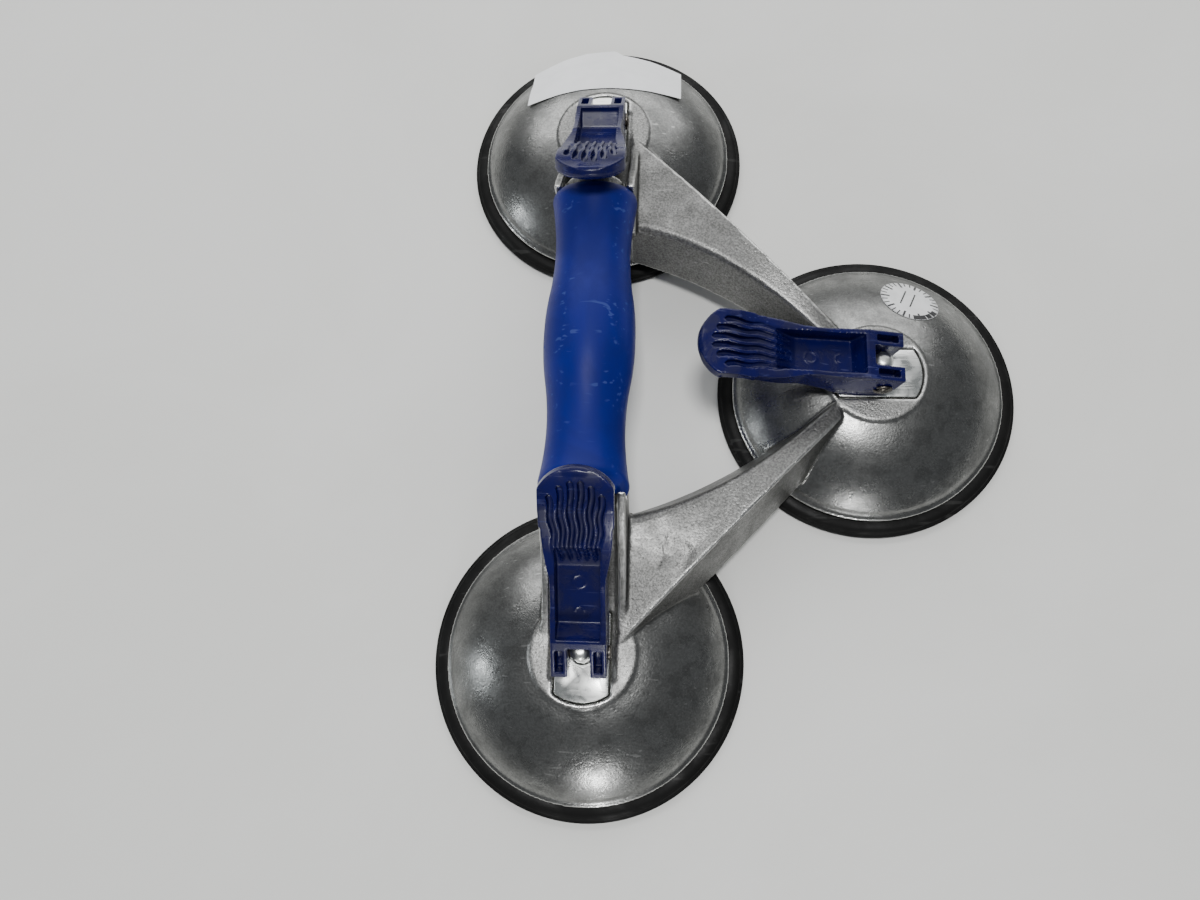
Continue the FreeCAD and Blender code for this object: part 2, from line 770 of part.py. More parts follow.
def lever(name, x, y, heading, tilt):
    """Moulded cam lever: forked cam, open trough, ribbed thumb piece.

    It is drawn lying flat with its pin at the origin and its thumb along +X."""
    body = new_piece(f"{name}_lever")
    length = size("lever_length")
    nose, top = size("fork_nose"), size("fork_top")
    heel_x, heel_z = cam_point(size("closed_angle"))
    lip_x, lip_z = cam_point(size("open_angle"))
    nose_run = nose + lip_x
    nose_z = lip_z + nose_run * sine(size("open_angle")) / cosine(size("open_angle"))
    flat_z = heel_z - size("heel_flat") * sine(size("closed_angle"))

    side_view = new_sketch(body, "side_outline", "XZ_Plane")
    outline(side_view, [
        (-nose, nose_z),
        (-nose, top),
        (size("back_run"), top + size("back_rise")),
        (length * 0.42, size("dip_height"), size("back_curve"), 1),
        (length * 0.80, size("thumb_height"), size("dip_curve"), 1),
        (length - size("thumb_lip"), size("thumb_lip_height"), size("thumb_crown"), -1),
        (length - size("thumb_lip") - 0.4, size("thumb_nose"), size("thumb_nose"), -1),
        (length * 0.77, size("thumb_under")),
        (size("belly_x"), size("belly_z")),
        (heel_x + size("heel_flat"), flat_z),
        (heel_x, heel_z),
        (lip_x, lip_z, size("cam_radius"), -1),
    ])
    raised(body, "blank", side_view, size("thumb_width"), both=True)

    half_fork = size("fork_width") / 2
    flare_x = length * size("flare_start")
    thumb_x = length * size("thumb_start")
    thumb_y = size("thumb_width") / 2 - size("thumb_edge")
    thumb_curve = size("thumb_width") / 2 + size("thumb_edge") * 2
    plan = new_sketch(body, "plan_outline", "XY_Plane")
    far = size("thumb_width")
    outline(plan, [
        (-nose - far, -far),
        (length + far, -far),
        (length + far, far),
        (-nose - far, far),
    ])
    outline(plan, [
        (-nose - OVERCUT, -half_fork),
        (size("waist_start"), -half_fork),
        (flare_x, -half_fork, size("waist_curve"), -1),
        (thumb_x, -thumb_y, size("flare_curve"), 1),
        (length, 0, thumb_curve, 1),
        (thumb_x, thumb_y, thumb_curve, 1),
        (flare_x, half_fork, size("flare_curve"), 1),
        (size("waist_start"), half_fork, size("waist_curve"), -1),
        (-nose - OVERCUT, half_fork),
    ])
    cut_away(body, "plan_trim", plan)

    inside = size("fork_width") - size("lever_wall") * 2
    trough = new_sketch(body, "trough_outline", "XZ_Plane")
    outline(trough, [
        (size("trough_start"), top + far),
        (size("trough_start"), size("thumb_height")),
        (size("trough_step"), size("trough_step_height")),
        (length * 0.47, size("trough_low")),
        (length * 0.60, size("trough_top"), size("trough_ramp"), 1),
        (length * 0.60, top + far),
    ])
    cut_away(body, "trough", trough, inside, both=True)

    hollow = new_sketch(body, "hollow_outline", "XZ_Plane")
    outline(hollow, [
        (size("hollow_start"), -far),
        (size("hollow_start"), size("hollow_back")),
        (length * 0.46, size("hollow_front")),
        (length * 0.46, -far),
    ])
    cut_away(body, "hollow", hollow, inside, both=True)

    gap = new_sketch(body, "fork_gap_outline", "XY_Plane")
    half_gap = size("fork_gap") / 2
    outline(gap, [
        (-nose - OVERCUT, -half_gap),
        (size("fork_depth"), -half_gap),
        (size("fork_depth"), half_gap),
        (-nose - OVERCUT, half_gap),
    ])
    cut_away(body, "fork_gap", gap)

    well_floor = top - size("well_depth")
    for side in (-1.0, 1.0):
        which = "left" if side > 0 else "right"
        well = new_sketch(body, f"{which}_leg_well_outline", "XY_Plane", (0, 0, well_floor))
        outline(well, [
            (size("well_back"), (half_gap + size("well_inner")) * side),
            (size("well_front"), (half_gap + size("well_inner")) * side),
            (size("well_front"), (half_fork - size("well_outer")) * side),
            (size("well_back"), (half_fork - size("well_outer")) * side),
        ])
        cut_away(body, f"{which}_leg_well", well, top, back=True)

    groove_count = round(size("thumb_ribs").value) + 1
    for number in range(groove_count):
        thumb_groove(body, number + 1, number - (groove_count - 1) / 2)

    hole = new_sketch(body, "pin_bore_outline", "XZ_Plane")
    disc(hole, 0, 0, size("pin_radius") + size("pin_seat"))
    cut_away(body, "pin_bore", hole)
    stand(body, x, y, pin_height(tilt), heading, tilt)


def pivot_pin(name, x, y, heading, tilt):
    """Headed pin through both fork legs and the stud, grooved for its clip."""
    body = new_piece(f"{name}_pivot_pin")
    half_fork = size("fork_width") / 2
    radius = size("pin_radius")
    bevel = size("pin_bevel")
    head_face = -half_fork - size("pin_play")
    head_top = head_face - size("pin_head_thick")
    tail = half_fork + size("pin_tail")
    groove = half_fork + size("clip_play")
    sketch = new_sketch(body, "pin_section", "XY_Plane")
    outline(sketch, [
        (0, head_top),
        (size("pin_head") - bevel, head_top),
        (size("pin_head"), head_top + bevel),
        (size("pin_head"), head_face),
        (radius, head_face),
        (radius, groove),
        (radius - size("clip_groove"), groove),
        (radius - size("clip_groove"), groove + size("clip_thick")),
        (radius, groove + size("clip_thick")),
        (radius, tail - bevel),
        (radius - bevel, tail),
        (0, tail),
    ])
    turned(body, "pin_shank", sketch)
    stand(body, x, y, pin_height(tilt), heading, tilt)


def retaining_clip(name, x, y, heading, tilt):
    """Open spring clip snapped into the pin's groove."""
    body = new_piece(f"{name}_retaining_clip")
    groove = size("fork_width") / 2 + size("clip_play")
    sketch = new_sketch(body, "clip_outline", "XZ_Plane", (0, 0, -groove))
    disc(sketch, 0, 0, size("clip_radius"))
    raised(body, "clip_disc", sketch, size("clip_thick"), back=True)
    throat = new_sketch(body, "clip_throat_outline", "XZ_Plane")
    disc(throat, 0, 0, size("pin_radius") - size("clip_groove"))
    cut_away(body, "clip_eye", throat)
    mouth = new_sketch(body, "clip_mouth_outline", "XZ_Plane")
    half_mouth = size("pin_radius") - size("clip_groove") - size("clip_mouth")
    outline(mouth, [
        (0, -half_mouth),
        (size("clip_radius") + OVERCUT, -half_mouth),
        (size("clip_radius") + OVERCUT, half_mouth),
        (0, half_mouth),
    ])
    cut_away(body, "clip_mouth", mouth)
    stand(body, x, y, pin_height(tilt), heading, tilt)


for name, x, y, heading, tilt in HEADS:
    suction_pad(name, x, y, tilt)
    pad_plate(name, x, y, tilt)
    pull_stud(name, x, y, heading, tilt)
    slide_plate(name, x, y, heading)
    lever(name, x, y, heading, tilt)
    pivot_pin(name, x, y, heading, tilt)
    retaining_clip(name, x, y, heading, tilt)

doc.recompute()

# ---------------------------------------------------------------------- export

for item in doc.Objects:
    if "Invalid" in item.State or "Error" in item.State:
        raise RuntimeError(f"{item.Name} failed: {item.State}")
os.makedirs("parts", exist_ok=True)
for piece in pieces:
    shape = piece.Shape
    if shape.isNull() or not shape.isValid() or not shape.Solids:
        raise RuntimeError(f"{piece.Label} has no valid solid")
    shape.exportStep(f"parts/{piece.Label}.step")
    box = shape.BoundBox
    print(f"{piece.Label}: {len(shape.Solids)} solid, {shape.Volume:.1f} mm3, "
          f"z {box.ZMin:.2f} to {box.ZMax:.2f}")
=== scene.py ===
import math

import bmesh
import bpy
import numpy as np
from mathutils import Matrix, Vector
from mathutils.kdtree import KDTree


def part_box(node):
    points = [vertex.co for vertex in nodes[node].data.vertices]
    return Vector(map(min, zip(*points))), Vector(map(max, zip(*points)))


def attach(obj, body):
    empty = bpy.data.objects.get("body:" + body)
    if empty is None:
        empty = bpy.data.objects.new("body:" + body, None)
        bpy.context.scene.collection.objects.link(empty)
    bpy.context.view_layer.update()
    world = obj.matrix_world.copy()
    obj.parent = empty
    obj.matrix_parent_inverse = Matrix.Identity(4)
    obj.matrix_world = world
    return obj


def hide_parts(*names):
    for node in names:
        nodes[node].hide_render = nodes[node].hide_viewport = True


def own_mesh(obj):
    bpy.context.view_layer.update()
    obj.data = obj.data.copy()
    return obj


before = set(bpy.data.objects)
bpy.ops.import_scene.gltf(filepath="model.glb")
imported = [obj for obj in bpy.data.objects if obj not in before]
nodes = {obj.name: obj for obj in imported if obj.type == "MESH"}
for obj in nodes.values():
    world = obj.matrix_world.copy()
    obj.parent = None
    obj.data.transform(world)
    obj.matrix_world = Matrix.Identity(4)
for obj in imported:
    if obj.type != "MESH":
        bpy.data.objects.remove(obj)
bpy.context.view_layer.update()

# --- Cast frame -----------------------------------------------------------------
# One aluminium die casting: three bells, two open necks with the bar between them,
# and two arms.  The arms and necks are left as blasted, the bells are smoother and
# have tarnished, and handling has polished the edges, which are also painted lighter
# as a painted highlight.  The tight inner corners are darkened as painted shade.

HEADS = ("front", "rear", "side")
CAST_VOXEL = 0.00064
CAST_TRIANGLES = 194000
BELL_RADIUS = 0.0543
BOSS_RADIUS = 0.0202
DOME_CURVE = 0.058                  # radius of the bell's profile
DOME_CENTRE = (0.00916, -0.03064)   # its centre, out from the bell's axis and up
DOME_SKIN = 0.0008                  # how far off that profile still counts as bell
CAST_EDGE = 0.0005                  # how far a fully sharp edge stands out
ARM_TOP = 0.022                     # the arms' tops lie above this
ARM_MARKS = (((-0.0211, -0.0733), (0.87, -0.5)),    # middle and run of each mark
             ((-0.0225, 0.0655), (0.87, 0.5)))
MARK_HALF_LENGTH, MARK_HALF_WIDTH = 0.0060, 0.0047
MARK_DEPTH, MARK_SOFT = 0.0006, 0.0009


def head_centre(name):
    """Where the axis of a head stands, from the middle of its rubber pad."""
    low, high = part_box(f"{name}_suction_pad")
    return (low[0] + high[0]) / 2, (low[1] + high[1]) / 2


def dome_height(reach):
    """Height of the bell's surface at that distance from its axis."""
    run = np.clip(reach - DOME_CENTRE[0], 0, DOME_CURVE * 0.95)
    return DOME_CENTRE[1] + np.sqrt(DOME_CURVE ** 2 - run ** 2)


def put_in(name, data):
    """Makes an object of a mesh, light or camera and puts it in the scene."""
    obj = bpy.data.objects.new(name, data)
    bpy.context.scene.collection.objects.link(obj)
    return obj


def merged_copy(node, name):
    """A copy of a frame node's mesh with its loose triangles joined up."""
    mesh = nodes[node].data.copy()
    mesh.materials.clear()
    obj = put_in(name, mesh)
    work = bmesh.new()
    work.from_mesh(mesh)
    bmesh.ops.remove_doubles(work, verts=work.verts, dist=1e-6)
    work.to_mesh(mesh)
    work.free()
    return obj


def settle(obj):
    """Turns the modifiers of an object into its mesh."""
    graph = bpy.context.evaluated_depsgraph_get()
    mesh = bpy.data.meshes.new_from_object(obj.evaluated_get(graph))
    obj.modifiers.clear()
    obj.data = mesh
    return obj


def points_of(mesh, field="co"):
    """The places or the normals of a mesh's points as rows."""
    values = np.empty(len(mesh.vertices) * 3)
    mesh.vertices.foreach_get(field, values)
    return values.reshape(-1, 3)


def smooth_faces(mesh):
    """Shades a mesh smooth."""
    for face in mesh.polygons:
        face.use_smooth = True


def store(mesh, name, values):
    """Keeps one number for each point as an attribute."""
    attribute = mesh.attributes.new(name, "FLOAT", "POINT")
    attribute.data.foreach_set("value", np.clip(values, 0, 1).astype(np.float32))


def bulge(mesh, rounds):
    """How far each point stands out of the surface smoothed around it, in metres."""
    places = points_of(mesh)
    pairs = np.empty(len(mesh.edges) * 2, int)
    mesh.edges.foreach_get("vertices", pairs)
    ends = np.concatenate([pairs[0::2], pairs[1::2]])
    others = np.concatenate([pairs[1::2], pairs[0::2]])
    share = np.maximum(np.bincount(ends, minlength=len(places)), 1)
    smooth = places.copy()
    for _ in range(rounds):
        smooth = np.stack([np.bincount(ends, smooth[others, axis], len(places)) / share
                           for axis in range(3)], axis=1)
    return np.einsum("ij,ij->i", places - smooth, points_of(mesh, "normal"))


def soften(obj, voxel, rounds, triangles, edge_height):
    """Rounds every edge and blends every inner corner as a casting or moulding has them.

    It stores "edge", 1 on a sharp edge, and "hollow", 1 in a tight inner corner."""
    remesh = obj.modifiers.new("skin", "REMESH")
    remesh.mode = "VOXEL"
    remesh.voxel_size = voxel
    remesh.adaptivity = 0.0
    flow = obj.modifiers.new("flow", "SMOOTH")
    flow.factor = 0.5
    flow.iterations = rounds
    settle(obj)
    height = bulge(obj.data, 10) / edge_height
    fine = points_of(obj.data)
    count = len(obj.data.polygons) * 2
    if count > triangles:
        thin = obj.modifiers.new("thin", "DECIMATE")
        thin.ratio = triangles / count
        settle(obj)
        tree = KDTree(len(fine))
        for index, place in enumerate(fine):
            tree.insert(place, index)
        tree.balance()
        height = height[[tree.find(vertex.co)[1] for vertex in obj.data.vertices]]
    store(obj.data, "edge", height)
    store(obj.data, "hollow", -height)
    smooth_faces(obj.data)
    return obj


def mould_mark(mesh, centre, along):
    """Sinks a shallow oblong mark with soft sides into the top of an arm."""
    places = points_of(mesh)
    along = np.array(along) / np.hypot(*along)
    offset = places[:, :2] - np.array(centre)
    length = np.abs(offset @ along)
    width = np.abs(offset @ np.array((-along[1], along[0])))
    share = (np.clip((MARK_HALF_LENGTH - length) / MARK_SOFT, 0, 1)
             * np.clip((MARK_HALF_WIDTH - width) / MARK_SOFT, 0, 1)
             * (points_of(mesh, "normal")[:, 2] > 0.5) * (places[:, 2] > ARM_TOP))
    places[:, 2] -= MARK_DEPTH * share
    mesh.vertices.foreach_set("co", places.ravel())


casting = merged_copy("cast_frame", "casting")
soften(casting, CAST_VOXEL, 4, CAST_TRIANGLES, CAST_EDGE)
for centre, along in ARM_MARKS:
    mould_mark(casting.data, centre, along)

places = points_of(casting.data)
on_dome = np.zeros(len(places))
on_boss = np.zeros(len(places))
for name in HEADS:
    reach = np.hypot(*(places[:, :2] - np.array(head_centre(name))).T)
    away = np.abs(places[:, 2] - dome_height(reach))
    near = (reach < BELL_RADIUS) & (reach > BOSS_RADIUS * 0.97)
    on_dome = np.maximum(on_dome, np.where(near, 1.4 - away / DOME_SKIN, 0))
    on_boss = np.maximum(on_boss, np.where(reach < BOSS_RADIUS * 1.03, 1.0, 0))
store(casting.data, "dome", on_dome)
store(casting.data, "boss", on_boss)


def new_material(name, roughness=0.5, metallic=0.0):
    """A material with its Principled shader ready; returns it, its tree and the shader."""
    material = bpy.data.materials.new(name)
    material.use_nodes = True
    tree = material.node_tree
    shader = tree.nodes["Principled BSDF"]
    shader.inputs["Roughness"].default_value = roughness
    shader.inputs["Metallic"].default_value = metallic
    return material, tree, shader


def add(tree, kind, *inputs, **settings):
    """Adds a node.  Inputs are (socket, value or output) pairs in order."""
    made = tree.nodes.new(kind)
    for key, value in settings.items():
        setattr(made, key, value)
    for socket, value in inputs:
        if isinstance(value, bpy.types.NodeSocket):
            tree.links.new(value, made.inputs[socket])
        else:
            made.inputs[socket].default_value = value
    return made


def maths(tree, operation, *values):
    """One step of arithmetic on numbers or outputs."""
    return add(tree, "ShaderNodeMath", *enumerate(values), operation=operation).outputs[0]


def spread(tree, value, low, high, start=0.0, end=1.0):
    """Stretches a value from low..high to start..end with soft ends."""
    return add(tree, "ShaderNodeMapRange", ("Value", value), ("From Min", low),
               ("From Max", high), ("To Min", start), ("To Max", end),
               interpolation_type="SMOOTHSTEP").outputs["Result"]


def mix(tree, share, low, high, blend="MIX"):
    """Mixes two colours and returns the result."""
    made = tree.nodes.new("ShaderNodeMix")
    made.data_type = "RGBA"
    made.blend_type = blend
    for index, value in ((0, share), (6, low), (7, high)):
        if isinstance(value, bpy.types.NodeSocket):
            tree.links.new(value, made.inputs[index])
        elif index == 0:
            made.inputs[0].default_value = value
        else:
            made.inputs[index].default_value = (*value, 1)
    return made.outputs[2]


def new_effect(name, inputs, outputs):
    """A shader group for an effect that several finishes share."""
    group = bpy.data.node_groups.new(name, "ShaderNodeTree")
    for label, value in inputs.items():
        socket = group.interface.new_socket(label, in_out="INPUT", socket_type="NodeSocketFloat")
        socket.default_value = value
    for label in outputs:
        group.interface.new_socket(label, in_out="OUTPUT", socket_type="NodeSocketFloat")
    given = group.nodes.new("NodeGroupInput").outputs
    results = group.nodes.new("NodeGroupOutput").inputs
    return group, given, results


def effect(tree, group, **values):
    """Places an effect in a finish with its own values; returns its outputs."""
    made = tree.nodes.new("ShaderNodeGroup")
    made.node_tree = group
    for label, value in values.items():
        made.inputs[label.replace("_", " ")].default_value = value
    return made.outputs


def dress(tree, shader, tone, matt=None, height=None, strength=0.0, distance=0.0):
    """Joins the colour, roughness and fine relief of a finish to its shader."""
    tree.links.new(tone, shader.inputs["Base Color"])
    if matt is not None:
        tree.links.new(matt, shader.inputs["Roughness"])
    if height is not None:
        bump = add(tree, "ShaderNodeBump", ("Strength", strength), ("Distance", distance),
                   ("Height", height))
        tree.links.new(bump.outputs["Normal"], shader.inputs["Normal"])


grain, given, results = new_effect(
    "surface_grain", {"Grain Scale": 1500.0, "Cloud Scale": 45.0}, ("Grain", "Cloud", "Height"))
where = add(grain, "ShaderNodeTexCoord").outputs["Object"]
fine = add(grain, "ShaderNodeTexNoise", ("Vector", where), ("Scale", given["Grain Scale"]),
           ("Detail", 2.0), ("Roughness", 0.65)).outputs["Fac"]
cloud = add(grain, "ShaderNodeTexNoise", ("Vector", where), ("Scale", given["Cloud Scale"]),
            ("Detail", 7.0), ("Roughness", 0.62), ("Distortion", 0.5)).outputs["Fac"]
pit_scale = maths(grain, "MULTIPLY", given["Grain Scale"], 0.35)
pits = add(grain, "ShaderNodeTexVoronoi", ("Vector", where),
           ("Scale", pit_scale)).outputs["Distance"]
grain.links.new(spread(grain, fine, 0.3, 0.7), results["Grain"])
grain.links.new(spread(grain, cloud, 0.34, 0.66), results["Cloud"])
pitted = maths(grain, "ADD", fine, spread(grain, pits, 0.0, 0.35, -0.5, 0.0))
grain.links.new(pitted, results["Height"])

scratches, given, results = new_effect(
    "hairline_scratches", {"Scale": 900.0, "Rarity": 0.68}, ("Mask",))
where = add(scratches, "ShaderNodeTexCoord").outputs["Object"]
sets = []
for turn, stretch in (((0.4, 0.9, 0.5), 0.035), ((1.1, 0.2, 2.1), 0.05)):
    placed = add(scratches, "ShaderNodeMapping", ("Vector", where), ("Rotation", turn),
                 ("Scale", (stretch, 1, 1))).outputs["Vector"]
    lines = add(scratches, "ShaderNodeTexNoise", ("Vector", placed), ("Scale", given["Scale"]),
                ("Detail", 1.0)).outputs["Fac"]
    sharp = maths(scratches, "MULTIPLY", maths(scratches, "SUBTRACT", lines, given["Rarity"]), 25.0)
    sets.append(sharp)
patch = add(scratches, "ShaderNodeTexNoise", ("Vector", where), ("Scale", 70.0)).outputs["Fac"]
either = maths(scratches, "MAXIMUM", *sets)
kept = maths(scratches, "MULTIPLY", either, spread(scratches, patch, 0.42, 0.62))
clamped = add(scratches, "ShaderNodeClamp", ("Value", kept)).outputs[0]
scratches.links.new(clamped, results["Mask"])

# Lighter sharp edges from the edge attribute: wear on the grip and levers, and on the casting also
# a painted highlight.
edge_wear_and_highlight, given, results = new_effect(
    "worn_and_highlit_edges", {"Start": 0.3, "Full": 0.8, "Breakup Scale": 600.0, "Breakup": 0.5}, ("Mask",))
where = add(edge_wear_and_highlight, "ShaderNodeTexCoord").outputs["Object"]
sharpness = add(edge_wear_and_highlight, "ShaderNodeAttribute", attribute_name="edge").outputs["Fac"]
rough = add(edge_wear_and_highlight, "ShaderNodeTexNoise", ("Vector", where), ("Scale", given["Breakup Scale"]),
            ("Detail", 3.0)).outputs["Fac"]
offset = maths(edge_wear_and_highlight, "MULTIPLY", maths(edge_wear_and_highlight, "SUBTRACT", rough, 0.5), given["Breakup"])
broken = maths(edge_wear_and_highlight, "ADD", sharpness, offset)
edge_wear_and_highlight.links.new(spread(edge_wear_and_highlight, broken, given["Start"], given["Full"]), results["Mask"])

# Painted shade: darkens tight inner corners, from the hollow attribute, broken up by noise.
corner_shade, given, results = new_effect(
    "painted_corner_shade", {"Start": 0.1, "Full": 0.7, "Breakup Scale": 300.0}, ("Mask",))
where = add(corner_shade, "ShaderNodeTexCoord").outputs["Object"]
corner = add(corner_shade, "ShaderNodeAttribute", attribute_name="hollow").outputs["Fac"]
rough = add(corner_shade, "ShaderNodeTexNoise", ("Vector", where), ("Scale", given["Breakup Scale"]),
            ("Detail", 4.0)).outputs["Fac"]
caught = maths(corner_shade, "MULTIPLY", corner, spread(corner_shade, rough, 0.2, 0.7, 0.6, 1.3))
corner_shade.links.new(spread(corner_shade, caught, given["Start"], given["Full"]), results["Mask"])

cast_metal, tree, shader = new_material("blasted_cast_aluminium", metallic=1.0)
skin = effect(tree, grain, Grain_Scale=1250.0, Cloud_Scale=38.0)
spots = effect(tree, grain, Grain_Scale=420.0, Cloud_Scale=150.0)
dome = add(tree, "ShaderNodeAttribute", attribute_name="dome").outputs["Fac"]
boss = add(tree, "ShaderNodeAttribute", attribute_name="boss").outputs["Fac"]
arm_tone = mix(tree, skin["Cloud"], (0.150, 0.150, 0.146), (0.230, 0.230, 0.224))
dome_tone = mix(tree, skin["Cloud"], (0.16, 0.162, 0.158), (0.26, 0.262, 0.255))
tone = mix(tree, dome, arm_tone, dome_tone)
tone = mix(tree, maths(tree, "MULTIPLY", boss, 0.55), tone, (0.32, 0.32, 0.312))
speckle = mix(tree, skin["Grain"], (0.66, 0.66, 0.66), (1.28, 1.28, 1.28))
strength = spread(tree, dome, 0.0, 1.0, 1.0, 0.5)
tone = mix(tree, strength, tone, speckle, "MULTIPLY")
stain = maths(tree, "MULTIPLY", spread(tree, spots["Cloud"], 0.0, 0.55, 0.30, 0.0), dome)
tone = mix(tree, stain, tone, (0.07, 0.07, 0.068))
# Painted shade: the casting's tight inner corners are darkened toward dark grey.
corner_shade_mask = effect(tree, corner_shade, Start=0.15, Full=0.9)["Mask"]
tone = mix(tree, maths(tree, "MULTIPLY", corner_shade_mask, 0.65), tone, (0.10, 0.10, 0.095))
line = effect(tree, scratches, Scale=700.0, Rarity=0.71)["Mask"]
tone = mix(tree, maths(tree, "MULTIPLY", line, 0.25), tone, (0.75, 0.75, 0.73))
# Polished edges, painted lighter as well: partly wear, partly a painted highlight along the ridges.
bright = effect(tree, edge_wear_and_highlight, Start=0.34, Full=0.90, Breakup_Scale=500.0, Breakup=0.35)["Mask"]
tone = mix(tree, bright, tone, (0.60, 0.60, 0.585))
matt = maths(tree, "ADD", spread(tree, dome, 0.0, 1.0, 0.44, 0.30),
             spread(tree, skin["Cloud"], 0.0, 1.0, 0.06, -0.05))
polish = spread(tree, bright, 0.0, 1.0, 0.0, -0.14)
dress(tree, shader, tone, maths(tree, "ADD", matt, polish),
      maths(tree, "MULTIPLY", skin["Height"], strength), 0.5, 0.00025)

casting.data.materials.append(cast_metal)
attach(casting, "frame_body")
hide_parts("cast_frame")

# --- Handle grip ----------------------------------------------------------------
# A royal blue sleeve moulded over the bar, waisted near its ends and fuller in the
# palm.  Its face is satin, with fine scratches, and its scuffed ends are slanted.

GRIP_HALF = 0.0595
GRIP_END, GRIP_WAIST, GRIP_BELLY = 0.0165, 0.0144, 0.0172
GRIP_ROUND = 0.0042
GRIP_BORE = 0.0120
GRIP_SWELL = 0.01785                # from the middle to where the waist begins
GRIP_BOW = 0.0004                   # how far the belly stands out on the way
END_REACH = {-1: 0.0014, 1: 0.0030}     # how far the cheeks of each end lap over the necks
END_SLANT = {-1: 0.0050, 1: 0.0033}     # how far the crown of each end is cut back from them
SLANT_START = 0.70                      # share of the half length where the slant begins
SCUFF_START, SCUFF_RISE = 0.93, 14      # where the scuffed ends begin, and how fast


def bowed(start, end, sag, steps):
    """Points after start on the arc to end that stands out by sag (in if negative)."""
    (x0, y0), (x1, y1) = start, end
    length = math.hypot(x1 - x0, y1 - y0)
    return [(x0 + (x1 - x0) * t - (y1 - y0) / length * sag * 4 * t * (1 - t),
             y0 + (y1 - y0) * t + (x1 - x0) / length * sag * 4 * t * (1 - t))
            for t in (i / steps for i in range(1, steps + 1))]


def spun(name, profile, sides, closed_bore=False):
    """A solid of revolution about Z.  The profile is (height, radius) in metres."""
    mesh = bpy.data.meshes.new(name)
    obj = put_in(name, mesh)
    work = bmesh.new()
    rings = []
    for height, radius in profile:
        count = 1 if radius < 1e-6 else sides
        rings.append([work.verts.new((radius * math.cos(2 * math.pi * i / sides),
                                      radius * math.sin(2 * math.pi * i / sides), height))
                      for i in range(count)])
    if closed_bore:
        rings.append(rings[0])
    for low, high in zip(rings, rings[1:]):
        for i in range(sides):
            j = (i + 1) % sides
            corners = [low[i % len(low)], low[j % len(low)],
                       high[j % len(high)], high[i % len(high)]]
            work.faces.new(list(dict.fromkeys(corners)))
    bmesh.ops.recalc_face_normals(work, faces=work.faces)
    for face in work.faces:
        face.smooth = True
    work.to_mesh(mesh)
    work.free()
    return obj


swell_radius = (GRIP_WAIST + GRIP_BELLY) / 2
waist_end = (GRIP_HALF - GRIP_ROUND, GRIP_END)
waist_sag = (GRIP_END + swell_radius) / 2 - GRIP_WAIST
half_grip = [(0.0, GRIP_BELLY)]
half_grip += bowed((0.0, GRIP_BELLY), (GRIP_SWELL, swell_radius), GRIP_BOW, 10)
half_grip += bowed(half_grip[-1], waist_end, -waist_sag, 24)
half_grip += [(waist_end[0] + GRIP_ROUND * math.sin(a), GRIP_END - GRIP_ROUND * (1 - math.cos(a)))
              for a in (math.pi / 2 * i / 8 for i in range(1, 9))]
half_grip.append((GRIP_HALF, GRIP_BORE))
grip_profile = [(-height, radius) for height, radius in reversed(half_grip[1:])] + half_grip
grip = spun("grip", grip_profile, 128, closed_bore=True)
grip_low, grip_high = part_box("handle_grip")
grip_middle = [(low + high) / 2 for low, high in zip(grip_low, grip_high)]
grip.data.transform(Matrix.Translation(grip_middle) @ Matrix.Rotation(-math.pi / 2, 4, "X"))
places = points_of(grip.data)
ahead = places[:, 1] - grip_middle[1]
along_grip = np.abs(ahead) / GRIP_HALF
end_share = np.clip((along_grip - SLANT_START) / (1 - SLANT_START), 0, 1) ** 2
crown_share = np.clip((places[:, 2] - grip_middle[2]) / GRIP_END, 0, 1)
for side in (-1, 1):
    moved = end_share * (END_REACH[side] - END_SLANT[side] * crown_share)
    places[:, 1] += np.where(np.sign(ahead) == side, side * moved, 0)
grip.data.vertices.foreach_set("co", places.ravel())
grip.data.update()
store(grip.data, "edge", (along_grip - SCUFF_START) * SCUFF_RISE)

grip_blue, tree, shader = new_material("blue_grip_moulding", roughness=0.45)
shader.inputs["Specular IOR Level"].default_value = 0.2
skin = effect(tree, grain, Grain_Scale=2600.0, Cloud_Scale=28.0)
tone = mix(tree, skin["Cloud"], (0.0011, 0.0052, 0.132), (0.0020, 0.0082, 0.178))
line = effect(tree, scratches, Scale=520.0, Rarity=0.675)["Mask"]
tone = mix(tree, maths(tree, "MULTIPLY", line, 0.22), tone, (0.12, 0.18, 0.45))
scuff = effect(tree, edge_wear_and_highlight, Start=0.75, Full=1.3, Breakup_Scale=350.0, Breakup=1.2)["Mask"]
tone = mix(tree, maths(tree, "MULTIPLY", scuff, 0.35), tone, (0.13, 0.17, 0.36))
matt = maths(tree, "ADD", spread(tree, skin["Cloud"], 0.0, 1.0, 0.50, 0.40),
             maths(tree, "MULTIPLY", line, 0.25))
dress(tree, shader, tone, matt, skin["Height"], 0.12, 0.0002)
grip.data.materials.append(grip_blue)
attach(grip, "frame_body")
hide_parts("handle_grip")

# --- Suction pads ---------------------------------------------------------------
# Soft black rubber discs under the bells, moulded with three fine grooves in the
# sealing lip.  The rim stays flat, and the hollow middle rises to meet the pad plate.

PAD_RADIUS, PAD_LIP = 0.0600, 0.0460
PAD_EDGE, PAD_FLANGE = 0.0032, 0.0044
PAD_THICK, PAD_FLAT, PAD_CROWN = 0.0057, 0.0160, 0.0310
PAD_SEAT = PAD_FLANGE - 0.0003      # the rubber's top under the bell's edge
PAD_BOW = 0.0006                    # how far the middle's slopes are bowed
LIP_GROOVES = (0.0490, 0.0520, 0.0550)
GROOVE_DEPTH, GROOVE_HALF = 0.0005, 0.0004

